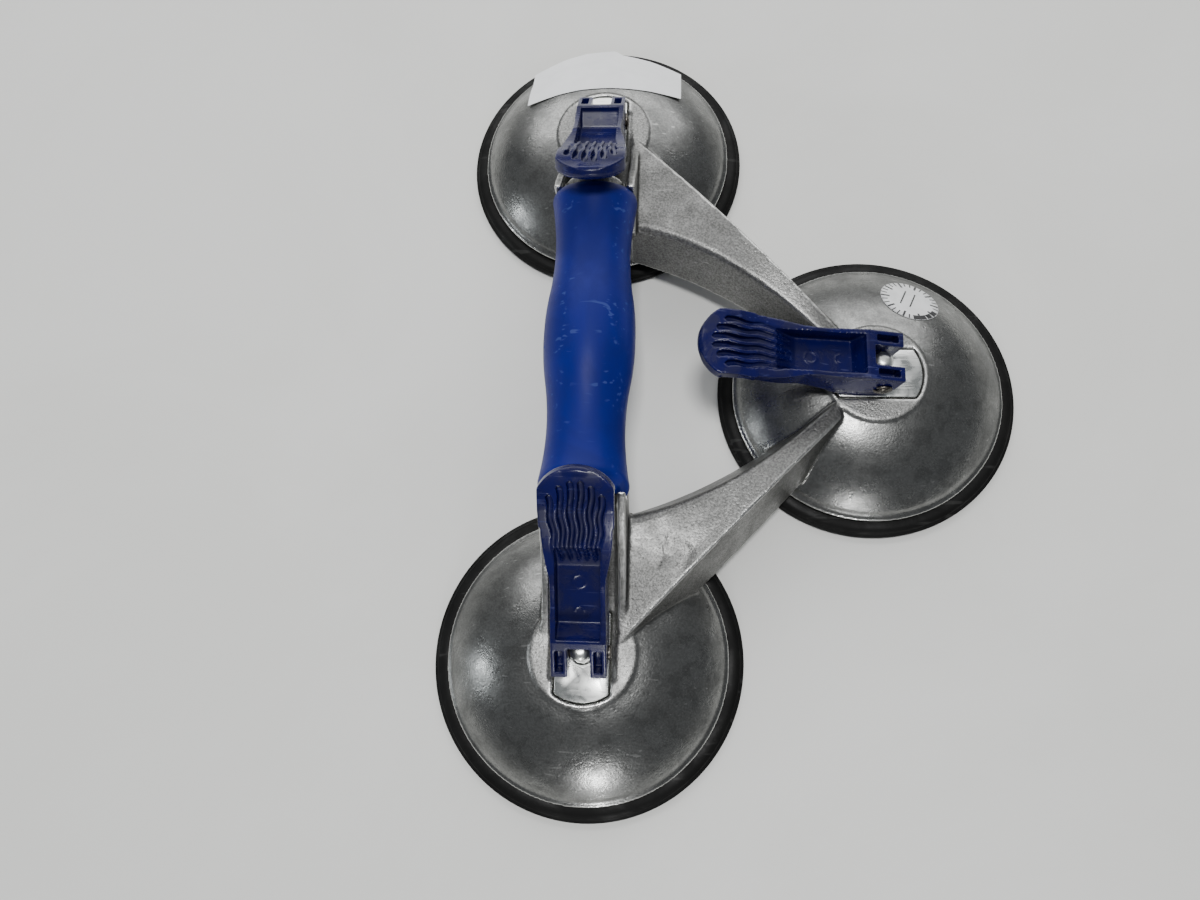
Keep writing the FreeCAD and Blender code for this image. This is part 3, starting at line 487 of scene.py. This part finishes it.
rim_profile = [(0.0, PAD_LIP)]
for groove in LIP_GROOVES:
    rim_profile += [(0.0, groove - GROOVE_HALF), (GROOVE_DEPTH, groove),
                    (0.0, groove + GROOVE_HALF)]
rim_profile += [(0.0, PAD_RADIUS - 0.0010)]
rim_profile += bowed(rim_profile[-1], (0.0010, PAD_RADIUS), -0.0003, 5)
rim_profile += [(PAD_EDGE - 0.0010, PAD_RADIUS)]
rim_profile += bowed(rim_profile[-1], (PAD_EDGE + 0.0004, PAD_RADIUS - 0.0016), -0.0004, 5)
rim_profile += [(PAD_EDGE + 0.0008, PAD_RADIUS - 0.0034), (PAD_FLANGE, BELL_RADIUS + 0.0007),
                (PAD_SEAT, BELL_RADIUS - 0.0004), (PAD_SEAT, PAD_LIP)]

rubber, tree, shader = new_material("soft_black_rubber", roughness=0.5)
shader.inputs["Specular IOR Level"].default_value = 0.16
skin = effect(tree, grain, Grain_Scale=1300.0, Cloud_Scale=60.0)
tone = mix(tree, skin["Cloud"], (0.0032, 0.0032, 0.0031), (0.0080, 0.0080, 0.0077))
line = effect(tree, scratches, Scale=420.0, Rarity=0.66)["Mask"]
tone = mix(tree, maths(tree, "MULTIPLY", line, 0.25), tone, (0.07, 0.07, 0.068))
dress(tree, shader, tone, spread(tree, skin["Cloud"], 0.0, 1.0, 0.62, 0.44),
      skin["Height"], 0.25, 0.0002)

for name in HEADS:
    x, y = head_centre(name)
    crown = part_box(f"{name}_pad_plate")[0][2]
    hollow = crown - PAD_THICK
    rim = spun(f"{name}_sealing_rim", rim_profile, 160, closed_bore=True)
    middle_profile = [(hollow, 0.0), (hollow, PAD_FLAT)]
    middle_profile += bowed((hollow, PAD_FLAT), (0.0, PAD_LIP), -PAD_BOW, 12)
    middle_profile += [(PAD_SEAT, PAD_LIP)]
    middle_profile += bowed(middle_profile[-1], (crown, PAD_CROWN), PAD_BOW, 8)
    middle_profile += [(crown, 0.0)]
    middle = spun(f"{name}_pad_middle", middle_profile, 96)
    for piece in (rim, middle):
        piece.data.transform(Matrix.Translation((x, y, 0)))
        piece.data.materials.append(rubber)
        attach(piece, "frame_body")
    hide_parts(f"{name}_suction_pad")
    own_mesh(middle)

# --- Studs, steel discs and wear plates ------------------------------------------
# Bright zinc-plated steel with an even finish and fine scratches.  The wear plate is
# blanked and lies in its seat; its dull rub where the cam slides is left out.  The
# stud is turned, with a domed crown.


def eased(node, name, width, angle=30):
    """The frame node's piece with its sharp edges broken, ready to replace it."""
    obj = merged_copy(node, name)
    work = bmesh.new()
    work.from_mesh(obj.data)
    bmesh.ops.dissolve_limit(work, angle_limit=math.radians(2), verts=work.verts, edges=work.edges)
    work.to_mesh(obj.data)
    work.free()
    bevel = obj.modifiers.new("broken_edge", "BEVEL")
    bevel.width = width
    bevel.segments = 2
    bevel.limit_method = "ANGLE"
    bevel.angle_limit = math.radians(angle)
    settle(obj)
    smooth_faces(obj.data)
    obj.data.set_sharp_from_angle(angle=math.radians(40))
    return obj


zinc, tree, shader = new_material("bright_zinc_plate", metallic=1.0)
skin = effect(tree, grain, Grain_Scale=1900.0, Cloud_Scale=180.0)
tone = mix(tree, skin["Cloud"], (0.70, 0.72, 0.70), (0.80, 0.81, 0.79))
line = effect(tree, scratches, Scale=1500.0, Rarity=0.63)["Mask"]
tone = mix(tree, maths(tree, "MULTIPLY", line, 0.5), tone, (0.40, 0.41, 0.40))
matt = maths(tree, "ADD", spread(tree, skin["Cloud"], 0.0, 1.0, 0.24, 0.36),
             maths(tree, "MULTIPLY", line, 0.2))
dress(tree, shader, tone, matt, skin["Height"], 0.08, 0.0001)

for name in HEADS:
    for part, body, width in (("slide_plate", "frame_body", 0.00030),
                              ("pull_stud", f"{name}_stud_body", 0.00025),
                              ("pad_plate", f"{name}_stud_body", 0.00030)):
        piece = eased(f"{name}_{part}", f"{name}_bright_{part}", width)
        piece.data.materials.append(zinc)
        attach(piece, body)
        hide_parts(f"{name}_{part}")

# --- Pivot pins and clips -------------------------------------------------------
# Dark oiled steel pins through the levers, each held by a blued spring clip that
# snaps into a groove in its end.  The clips are given the same dark oiled steel.

dark_steel, tree, shader = new_material("dark_oiled_steel", metallic=1.0)
skin = effect(tree, grain, Grain_Scale=2200.0, Cloud_Scale=420.0)
tone = mix(tree, skin["Cloud"], (0.055, 0.048, 0.042), (0.20, 0.185, 0.165))
dress(tree, shader, tone, spread(tree, skin["Cloud"], 0.0, 1.0, 0.26, 0.42),
      skin["Height"], 0.12, 0.0001)

for name in HEADS:
    for part, slot in (("pivot_pin", "dark_steel"), ("retaining_clip", "spring_steel")):
        piece = eased(f"{name}_{part}", f"{name}_oiled_{part}", 0.00012)
        piece.data.materials.append(dark_steel)
        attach(piece, f"{name}_lever_body")
        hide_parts(f"{name}_{part}")

# --- Cam levers -----------------------------------------------------------------
# Dark blue mouldings with a forked cam, an open trough and a thumb piece.  Five wavy
# ribs run down the thumb and fade out on the ramp into the trough.

LEVER_VOXEL = 0.00030
LEVER_TRIANGLES = 130000
LEVER_EDGE = 0.00028                # how far a fully sharp edge stands out
HEADINGS = {"front": 90.0, "rear": -90.0, "side": 180.0}
TILTS = {"front": 37.5, "rear": 37.5, "side": 14.0}
RIBS = {"Ribs": 5, "Start": 0.0350, "Root": 0.0410, "End": 0.0672, "End Drop": 0.00075,
        "Root Pitch": 0.0029, "Tip Pitch": 0.0035, "Wave": 0.00038, "Rib Radius": 0.00075,
        "Sink": 0.00015}


def lever_frame(name):
    """Where a lever's own frame lies: pin at its origin, thumb along X."""
    x, y = head_centre(name)
    low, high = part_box(f"{name}_pivot_pin")
    turn = (Matrix.Rotation(math.radians(HEADINGS[name]), 4, "Z")
            @ Matrix.Rotation(math.radians(-TILTS[name]), 4, "Y"))
    return Matrix.Translation((x, y, (low[2] + high[2]) / 2)) @ turn


def new_growth(name, inputs):
    """A geometry tree with named inputs; returns the tree and its two end nodes."""
    tree = bpy.data.node_groups.new(name, "GeometryNodeTree")
    kinds = {int: "NodeSocketInt", float: "NodeSocketFloat", bpy.types.Object: "NodeSocketObject",
             bpy.types.Material: "NodeSocketMaterial"}
    for label, value in inputs.items():
        tree.interface.new_socket(label, in_out="INPUT", socket_type=kinds[type(value)])
    tree.interface.new_socket("Geometry", in_out="OUTPUT", socket_type="NodeSocketGeometry")
    return tree, tree.nodes.new("NodeGroupInput").outputs, tree.nodes.new("NodeGroupOutput")


def grown(name, tree, inputs):
    """Runs a geometry tree with those inputs and keeps the result as a plain mesh."""
    obj = put_in(name, bpy.data.meshes.new(name))
    growth = obj.modifiers.new("growth", "NODES")
    growth.node_group = tree
    for item in tree.interface.items_tree:
        if item.in_out == "INPUT":
            growth[item.identifier] = inputs[item.name]
    return settle(obj)


navy, tree, shader = new_material("navy_lever_moulding", roughness=0.25)
shader.inputs["Specular IOR Level"].default_value = 0.38
skin = effect(tree, grain, Grain_Scale=2300.0, Cloud_Scale=90.0)
tone = mix(tree, skin["Cloud"], (0.0012, 0.0014, 0.040), (0.0021, 0.0026, 0.068))
line = effect(tree, scratches, Scale=800.0, Rarity=0.66)["Mask"]
tone = mix(tree, maths(tree, "MULTIPLY", line, 0.22), tone, (0.05, 0.065, 0.24))
# Painted shade: the lever's tight inner corners are darkened, and made a little rougher.
corner_shade_mask = effect(tree, corner_shade, Start=0.25, Full=1.0)["Mask"]
tone = mix(tree, maths(tree, "MULTIPLY", corner_shade_mask, 0.30), tone, (0.010, 0.011, 0.034))
rubbed = effect(tree, edge_wear_and_highlight, Start=0.5, Full=1.0, Breakup_Scale=450.0, Breakup=0.6)["Mask"]
tone = mix(tree, maths(tree, "MULTIPLY", rubbed, 0.10), tone, (0.03, 0.04, 0.24))
matt = maths(tree, "ADD", spread(tree, skin["Cloud"], 0.0, 1.0, 0.32, 0.20),
             maths(tree, "MULTIPLY", maths(tree, "ADD", line, corner_shade_mask), 0.2))
dress(tree, shader, tone, matt, skin["Height"], 0.10, 0.00015)

pattern = merged_copy("side_lever", "lever_pattern")
pattern.data.transform(lever_frame("side").inverted())

rib_inputs = {**RIBS, "Lever": pattern, "Material": navy}
tree, given, result = new_growth("thumb_ribs", rib_inputs)
strand = add(tree, "GeometryNodeCurvePrimitiveLine", ("End", (1, 0, 0))).outputs["Curve"]
strand = add(tree, "GeometryNodeResampleCurve", ("Curve", strand),
             ("Count", 70)).outputs["Curve"]
copies = add(tree, "GeometryNodeDuplicateElements", ("Geometry", strand),
             ("Amount", given["Ribs"]), domain="SPLINE").outputs
half = maths(tree, "MULTIPLY", maths(tree, "SUBTRACT", given["Ribs"], 1.0), 0.5)
place = maths(tree, "SUBTRACT", copies["Duplicate Index"], half)
share = add(tree, "GeometryNodeSplineParameter").outputs["Factor"]
drop = maths(tree, "MULTIPLY", given["End Drop"], maths(tree, "MULTIPLY", place, place))
end = maths(tree, "SUBTRACT", given["End"], drop)
run = maths(tree, "SUBTRACT", end, given["Start"])
x = maths(tree, "ADD", given["Start"], maths(tree, "MULTIPLY", share, run))
along = maths(tree, "DIVIDE", maths(tree, "SUBTRACT", x, given["Root"]),
              maths(tree, "SUBTRACT", end, given["Root"]))
pitch_rise = maths(tree, "SUBTRACT", given["Tip Pitch"], given["Root Pitch"])
pitch = maths(tree, "ADD", given["Root Pitch"], maths(tree, "MULTIPLY", along, pitch_rise))
wave = maths(tree, "MULTIPLY", given["Wave"],
             maths(tree, "SINE", maths(tree, "MULTIPLY", along, 4 * math.pi)))
y = maths(tree, "ADD", maths(tree, "MULTIPLY", place, pitch), wave)
above = add(tree, "ShaderNodeCombineXYZ", ("X", x), ("Y", y), ("Z", 0.03)).outputs["Vector"]
lines = add(tree, "GeometryNodeSetPosition", ("Geometry", copies["Geometry"]),
            ("Position", above)).outputs["Geometry"]
lever_skin = add(tree, "GeometryNodeObjectInfo", ("Object", given["Lever"])).outputs["Geometry"]
found = add(tree, "GeometryNodeRaycast", ("Target Geometry", lever_skin),
            ("Ray Direction", (0, 0, -1)), ("Ray Length", 0.1)).outputs["Hit Position"]
sunk = add(tree, "ShaderNodeCombineXYZ",
           ("Z", maths(tree, "MULTIPLY", given["Sink"], -1.0))).outputs["Vector"]
lines = add(tree, "GeometryNodeSetPosition", ("Geometry", lines), ("Position", found),
            ("Offset", sunk)).outputs["Geometry"]
position = add(tree, "GeometryNodeInputPosition").outputs["Position"]
eased_line = add(tree, "GeometryNodeBlurAttribute", ("Iterations", 3), data_type="FLOAT_VECTOR")
vector_input = [socket for socket in eased_line.inputs if socket.type == "VECTOR"][0]
tree.links.new(position, vector_input)
vector_output = [socket for socket in eased_line.outputs if socket.type == "VECTOR"][0]
lines = add(tree, "GeometryNodeSetPosition", ("Geometry", lines),
            ("Position", vector_output)).outputs["Geometry"]
near_end = maths(tree, "MINIMUM", share, maths(tree, "SUBTRACT", 1.0, share))
taper = maths(tree, "MINIMUM", 1.0, maths(tree, "MULTIPLY", near_end, 7.0))
taper = maths(tree, "POWER", taper, 0.6)
radius = maths(tree, "MULTIPLY", given["Rib Radius"], maths(tree, "MAXIMUM", taper, 0.15))
ring = add(tree, "GeometryNodeCurvePrimitiveCircle", ("Resolution", 12),
           ("Radius", 1.0)).outputs["Curve"]
tubes = add(tree, "GeometryNodeCurveToMesh", ("Curve", lines), ("Profile Curve", ring),
            ("Scale", radius), ("Fill Caps", True)).outputs["Mesh"]
real = add(tree, "GeometryNodeRealizeInstances", ("Geometry", tubes)).outputs["Geometry"]
done = add(tree, "GeometryNodeSetMaterial", ("Geometry", real), ("Material", given["Material"]))
tree.links.new(done.outputs["Geometry"], result.inputs["Geometry"])
ribs = grown("rib_crowns", tree, rib_inputs)

LIP_CENTRE, LIP_SWEEP, LIP_SWING = 0.0586, 0.0117, 66.0
LIP_HEIGHT, LIP_ROLL = 0.0031, 0.0027
TROUGH_START, TROUGH_HEIGHT, TROUGH_FALL = 0.0128, 0.0014, 0.108
FLOOR_MARKS = ((0.0282, 0.0023, 0.00024, 360.0), (0.0172, 0.0016, 0.00024, 180.0))


def arched_bar(work, centre, height, slope, sweep, thick, swing):
    """A round bar bent to an arc that is open toward the fork, with closed ends."""
    steps, sides = 40, 12
    rings = []
    for step in range(steps + (swing < 360.0)):
        turn = math.radians(-swing / 2 + swing * step / steps)
        out = Vector((math.cos(turn), math.sin(turn), 0))
        place = Vector((centre, 0, height)) + out * sweep
        place.z += slope * (place.x - centre)
        rings.append([work.verts.new(place + out * thick * math.cos(2 * math.pi * k / sides)
                                     + Vector((0, 0, thick * math.sin(2 * math.pi * k / sides))))
                      for k in range(sides)])
    if swing >= 360.0:
        rings.append(rings[0])
    else:
        work.faces.new(rings[0][::-1])
        work.faces.new(rings[-1])
    for low, high in zip(rings, rings[1:]):
        for k in range(sides):
            work.faces.new((low[k], low[(k + 1) % sides], high[(k + 1) % sides], high[k]))


work = bmesh.new()
arched_bar(work, LIP_CENTRE, LIP_HEIGHT, 0.0, LIP_SWEEP, LIP_ROLL, LIP_SWING * 2)
for centre, sweep, thick, swing in FLOOR_MARKS:
    height = TROUGH_HEIGHT - (centre - TROUGH_START) * TROUGH_FALL
    arched_bar(work, centre, height, -TROUGH_FALL, sweep, thick, swing)
for part in (pattern, ribs):
    work.from_mesh(part.data)
bmesh.ops.recalc_face_normals(work, faces=work.faces)
work.to_mesh(pattern.data)
work.free()
bpy.data.objects.remove(ribs)
soften(pattern, LEVER_VOXEL, 5, LEVER_TRIANGLES, LEVER_EDGE)

for name in HEADS:
    lever = put_in(f"{name}_cam_lever", pattern.data.copy())
    lever.data.transform(lever_frame(name))
    lever.data.materials.clear()
    lever.data.materials.append(navy)
    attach(lever, f"{name}_lever_body")
    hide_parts(f"{name}_lever")
bpy.data.objects.remove(pattern)

# --- Paper label ----------------------------------------------------------------
# A blank white paper label, stuck over the rear bell.  It bends across the dome and
# bridges the step from the bell down to the rubber.

LABEL_WIDTH = 0.0680
LABEL_OFF_CENTRE = -0.0010
LABEL_PLACES = (-1.0, -0.6, -0.3, 0.10, 0.20, 0.60, 1.0)   # across, as shares of half the width
LABEL_NEAR = (0.0190, 0.0215, 0.0228, 0.0232, 0.0231, 0.0226, 0.0214)
LABEL_FAR = (0.0466, 0.0550, 0.0588, 0.0600, 0.0560, 0.0512, 0.0444)
LABEL_SHOULDER = 0.0028             # in from the bell's edge, where the paper leaves it
LABEL_FALL = 0.56                   # how steeply it runs down from there
LABEL_LIFT, CORNER_CURL = 0.0002, 0.0010
PAPER_THICK = 0.00012


def surface_height(reach):
    """Height that stiff paper takes over the bell, its shoulder and the rubber."""
    shoulder = BELL_RADIUS - LABEL_SHOULDER
    return np.where(reach < shoulder, dome_height(reach),
                    np.maximum(dome_height(shoulder) - (reach - shoulder) * LABEL_FALL,
                               PAD_FLANGE))


columns, rows = 48, 24
x, y = head_centre("rear")
verts = []
for row in range(rows + 1):
    for column in range(columns + 1):
        side = column / columns * 2 - 1
        near = float(np.interp(side, LABEL_PLACES, LABEL_NEAR))
        far = float(np.interp(side, LABEL_PLACES, LABEL_FAR))
        across = LABEL_OFF_CENTRE + side * LABEL_WIDTH / 2
        out = near + (far - near) * row / rows
        lift = LABEL_LIFT + CORNER_CURL * abs(side) ** 6 * (1 - row / rows) ** 2
        verts.append((x + across, y + out, float(surface_height(math.hypot(across, out))) + lift))
step = columns + 1
faces = [(r * step + c, r * step + c + 1, (r + 1) * step + c + 1, (r + 1) * step + c)
         for r in range(rows) for c in range(columns)]
label_mesh = bpy.data.meshes.new("paper_label")
label_mesh.from_pydata(verts, [], faces)
label = put_in("paper_label", label_mesh)
sheet = label.modifiers.new("paper", "SOLIDIFY")
sheet.thickness = PAPER_THICK
sheet.offset = 1.0
settle(label)
smooth_faces(label.data)
label.data.set_sharp_from_angle(angle=math.radians(40))

paper, tree, shader = new_material("white_paper", roughness=0.72)
skin = effect(tree, grain, Grain_Scale=1500.0, Cloud_Scale=80.0)
tone = mix(tree, skin["Cloud"], (0.90, 0.91, 0.92), (0.95, 0.96, 0.97))
dress(tree, shader, tone, None, skin["Height"], 0.15, 0.0002)
label.data.materials.append(paper)
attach(label, "frame_body")

# --- Tick disc ------------------------------------------------------------------
# A round vinyl sticker on the side bell, printed with a ring of tick marks, four dark
# cells in it and two ruled lines for writing on.  It carries no words.

DISC_RADIUS = 0.0121
DISC_PLACE = (0.0166, 0.0347)       # from the side head's axis
TICK_RINGS = ({"Ticks": 30, "Tick Ring": 0.0108, "Length": 0.0024, "Width": 0.00050},
              {"Ticks": 10, "Tick Ring": 0.0102, "Length": 0.0034, "Width": 0.00085})
RULED_LINES = (-0.0010, 0.0030)         # across the disc
RULED_LENGTH, RULED_WIDTH, RULED_PARTS = 0.0100, 0.0006, 6
DARK_CELLS = (-152, -136, -120, -104)   # degrees round the disc
DARK_CELL, DARK_CELL_RING = (0.0023, 0.0026), 0.0107
VINYL_THICK = 0.00012
PRINT_THICK = 0.00004

ink, tree, shader = new_material("black_print", roughness=0.45)
skin = effect(tree, grain, Grain_Scale=3000.0, Cloud_Scale=700.0)
dress(tree, shader, mix(tree, skin["Cloud"], (0.008, 0.008, 0.009), (0.03, 0.03, 0.032)))
vinyl, tree, shader = new_material("white_vinyl", roughness=0.35)
skin = effect(tree, grain, Grain_Scale=1500.0, Cloud_Scale=160.0)
dress(tree, shader, mix(tree, skin["Cloud"], (0.72, 0.73, 0.73), (0.82, 0.83, 0.83)))

tick_inputs = {**TICK_RINGS[0], "Thickness": PRINT_THICK, "Material": ink}
tree, given, result = new_growth("tick_ring", tick_inputs)
circle = add(tree, "GeometryNodeMeshCircle", ("Vertices", given["Ticks"]),
             ("Radius", given["Tick Ring"])).outputs["Mesh"]
size = add(tree, "ShaderNodeCombineXYZ", ("X", given["Length"]), ("Y", given["Width"]),
           ("Z", given["Thickness"])).outputs["Vector"]
tick = add(tree, "GeometryNodeMeshCube", ("Size", size)).outputs["Mesh"]
position = add(tree, "GeometryNodeInputPosition").outputs["Position"]
turn = add(tree, "FunctionNodeAlignRotationToVector", ("Vector", position),
           axis="X").outputs["Rotation"]
ticks = add(tree, "GeometryNodeInstanceOnPoints", ("Points", circle), ("Instance", tick),
            ("Rotation", turn)).outputs["Instances"]
real = add(tree, "GeometryNodeRealizeInstances", ("Geometry", ticks)).outputs["Geometry"]
done = add(tree, "GeometryNodeSetMaterial", ("Geometry", real), ("Material", given["Material"]))
tree.links.new(done.outputs["Geometry"], result.inputs["Geometry"])

x, y = head_centre("side")
outward = np.array(DISC_PLACE) / math.hypot(*DISC_PLACE)
sideways = np.array((-outward[1], outward[0]))
disc_reach = math.hypot(*DISC_PLACE)
slope = math.asin((disc_reach - DOME_CENTRE[0]) / DOME_CURVE)


def laid_on_bell(obj, lift):
    """Drapes a flat piece, drawn round the origin, over the side bell."""
    places = points_of(obj.data)
    out = disc_reach + places[:, 0] * math.cos(slope)
    across = places[:, 1]
    plan = np.outer(out, outward) + np.outer(across, sideways)
    height = dome_height(np.hypot(out, across)) + places[:, 2] / math.cos(slope) + lift
    placed = np.column_stack([plan[:, 0] + x, plan[:, 1] + y, height])
    obj.data.vertices.foreach_set("co", placed.ravel())
    obj.data.update()


disc_profile = [(0.0, DISC_RADIUS * share) for share in (0.0, 0.5, 1.0)]
disc_profile += [(VINYL_THICK, DISC_RADIUS * share) for share in (1.0, 0.75, 0.5, 0.25, 0.0)]
disc = spun("tick_disc", disc_profile, 72)
laid_on_bell(disc, VINYL_THICK)
disc.data.materials.append(vinyl)
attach(disc, "frame_body")

work = bmesh.new()
for number, ring_sizes in enumerate(TICK_RINGS):
    ring = grown(f"ticks_{number}", tree, {**tick_inputs, **ring_sizes})
    work.from_mesh(ring.data)
    bpy.data.objects.remove(ring)
for offset in RULED_LINES:
    for step in range(RULED_PARTS):
        along = (step - (RULED_PARTS - 1) / 2) * RULED_LENGTH / RULED_PARTS
        place = Matrix.Translation((along, offset, 0))
        size = Matrix.Diagonal((RULED_LENGTH / RULED_PARTS, RULED_WIDTH, PRINT_THICK, 1))
        bmesh.ops.create_cube(work, size=1.0, matrix=place @ size)
for turn in DARK_CELLS:
    place = (Matrix.Rotation(math.radians(turn), 4, "Z")
             @ Matrix.Translation((DARK_CELL_RING, 0, 0)))
    size = Matrix.Diagonal((*DARK_CELL, PRINT_THICK, 1))
    bmesh.ops.create_cube(work, size=1.0, matrix=place @ size)
print_mesh = bpy.data.meshes.new("disc_print")
work.to_mesh(print_mesh)
work.free()
disc_print = put_in("disc_print", print_mesh)
laid_on_bell(disc_print, VINYL_THICK + VINYL_THICK + PRINT_THICK)
print_mesh.materials.clear()
print_mesh.materials.append(ink)
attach(disc_print, "frame_body")

# --- Floor, light and camera ----------------------------------------------------
# A pale plain floor and a dim room with a bright wall behind, a small light overhead
# and two low ones.  The camera looks down from above the front cup.

FLOOR_HALF, FLOOR_HEIGHT = 3, -0.0002
ROOM_COLOUR, ROOM_STRENGTH = (0.92, 0.96, 1.0, 1), 0.22
CAMERA_PLACE = (-0.0242, -0.1364, 0.37235)
CAMERA_AHEAD = (-0.0752, 0.2862, -0.9552)
CAMERA_RIGHT = (0.9971, 0.0358, -0.0678)
CAMERA_LENS, CAMERA_WIDTH = 28.07, 36   # millimetres

floor_mesh = bpy.data.meshes.new("floor")
floor_corners = [(FLOOR_HALF * i, FLOOR_HALF * j, FLOOR_HEIGHT)
                 for i, j in ((-1, -1), (1, -1), (1, 1), (-1, 1))]
floor_mesh.from_pydata(floor_corners, [], [(0, 1, 2, 3)])
floor = put_in("floor", floor_mesh)
pale, tree, shader = new_material("pale_floor", roughness=0.55)
skin = effect(tree, grain, Grain_Scale=500.0, Cloud_Scale=6.0)
dress(tree, shader, mix(tree, skin["Cloud"], (0.76, 0.76, 0.73), (0.80, 0.80, 0.775)))
floor_mesh.materials.append(pale)

world = bpy.data.worlds.new("studio")
bpy.context.scene.world = world
world.use_nodes = True
room = world.node_tree.nodes["Background"].inputs
room["Color"].default_value = ROOM_COLOUR
room["Strength"].default_value = ROOM_STRENGTH


def soft_light(name, place, target, size, power, colour=(1, 1, 1)):
    """A soft rectangular light aimed at a point."""
    light = bpy.data.lights.new(name, "AREA")
    light.shape = "RECTANGLE"
    light.size, light.size_y = size
    light.energy = power
    light.color = colour
    obj = put_in(name, light)
    obj.location = place
    obj.rotation_euler = (Vector(target) - Vector(place)).to_track_quat("-Z", "Y").to_euler()


soft_light("overhead", (0.0, -0.14, 1.6), (0, 0, 0), (0.26, 0.26), 16)
soft_light("bright_wall", (-0.1, 1.8, 1.35), (0, 0, 0), (3.6, 1.5), 48)
soft_light("door", (0.05, -1.7, 0.40), (0, 0, 0.02), (0.22, 0.30), 7.5)
soft_light("window", (-1.6, -0.25, 0.5), (0, 0, 0.02), (0.25, 0.25), 3.0, (0.92, 0.97, 1.0))

camera = bpy.data.cameras.new("camera")
camera.sensor_width = CAMERA_WIDTH
camera.lens = CAMERA_LENS
camera.clip_start = 0.01
eye = put_in("camera", camera)
ahead = Vector(CAMERA_AHEAD).normalized()
right = Vector(CAMERA_RIGHT).normalized()
upward = right.cross(ahead).normalized()
right = ahead.cross(upward).normalized()
turned = Matrix((right, upward, -ahead)).transposed().to_4x4()
eye.matrix_world = Matrix.Translation(CAMERA_PLACE) @ turned
bpy.context.scene.camera = eye
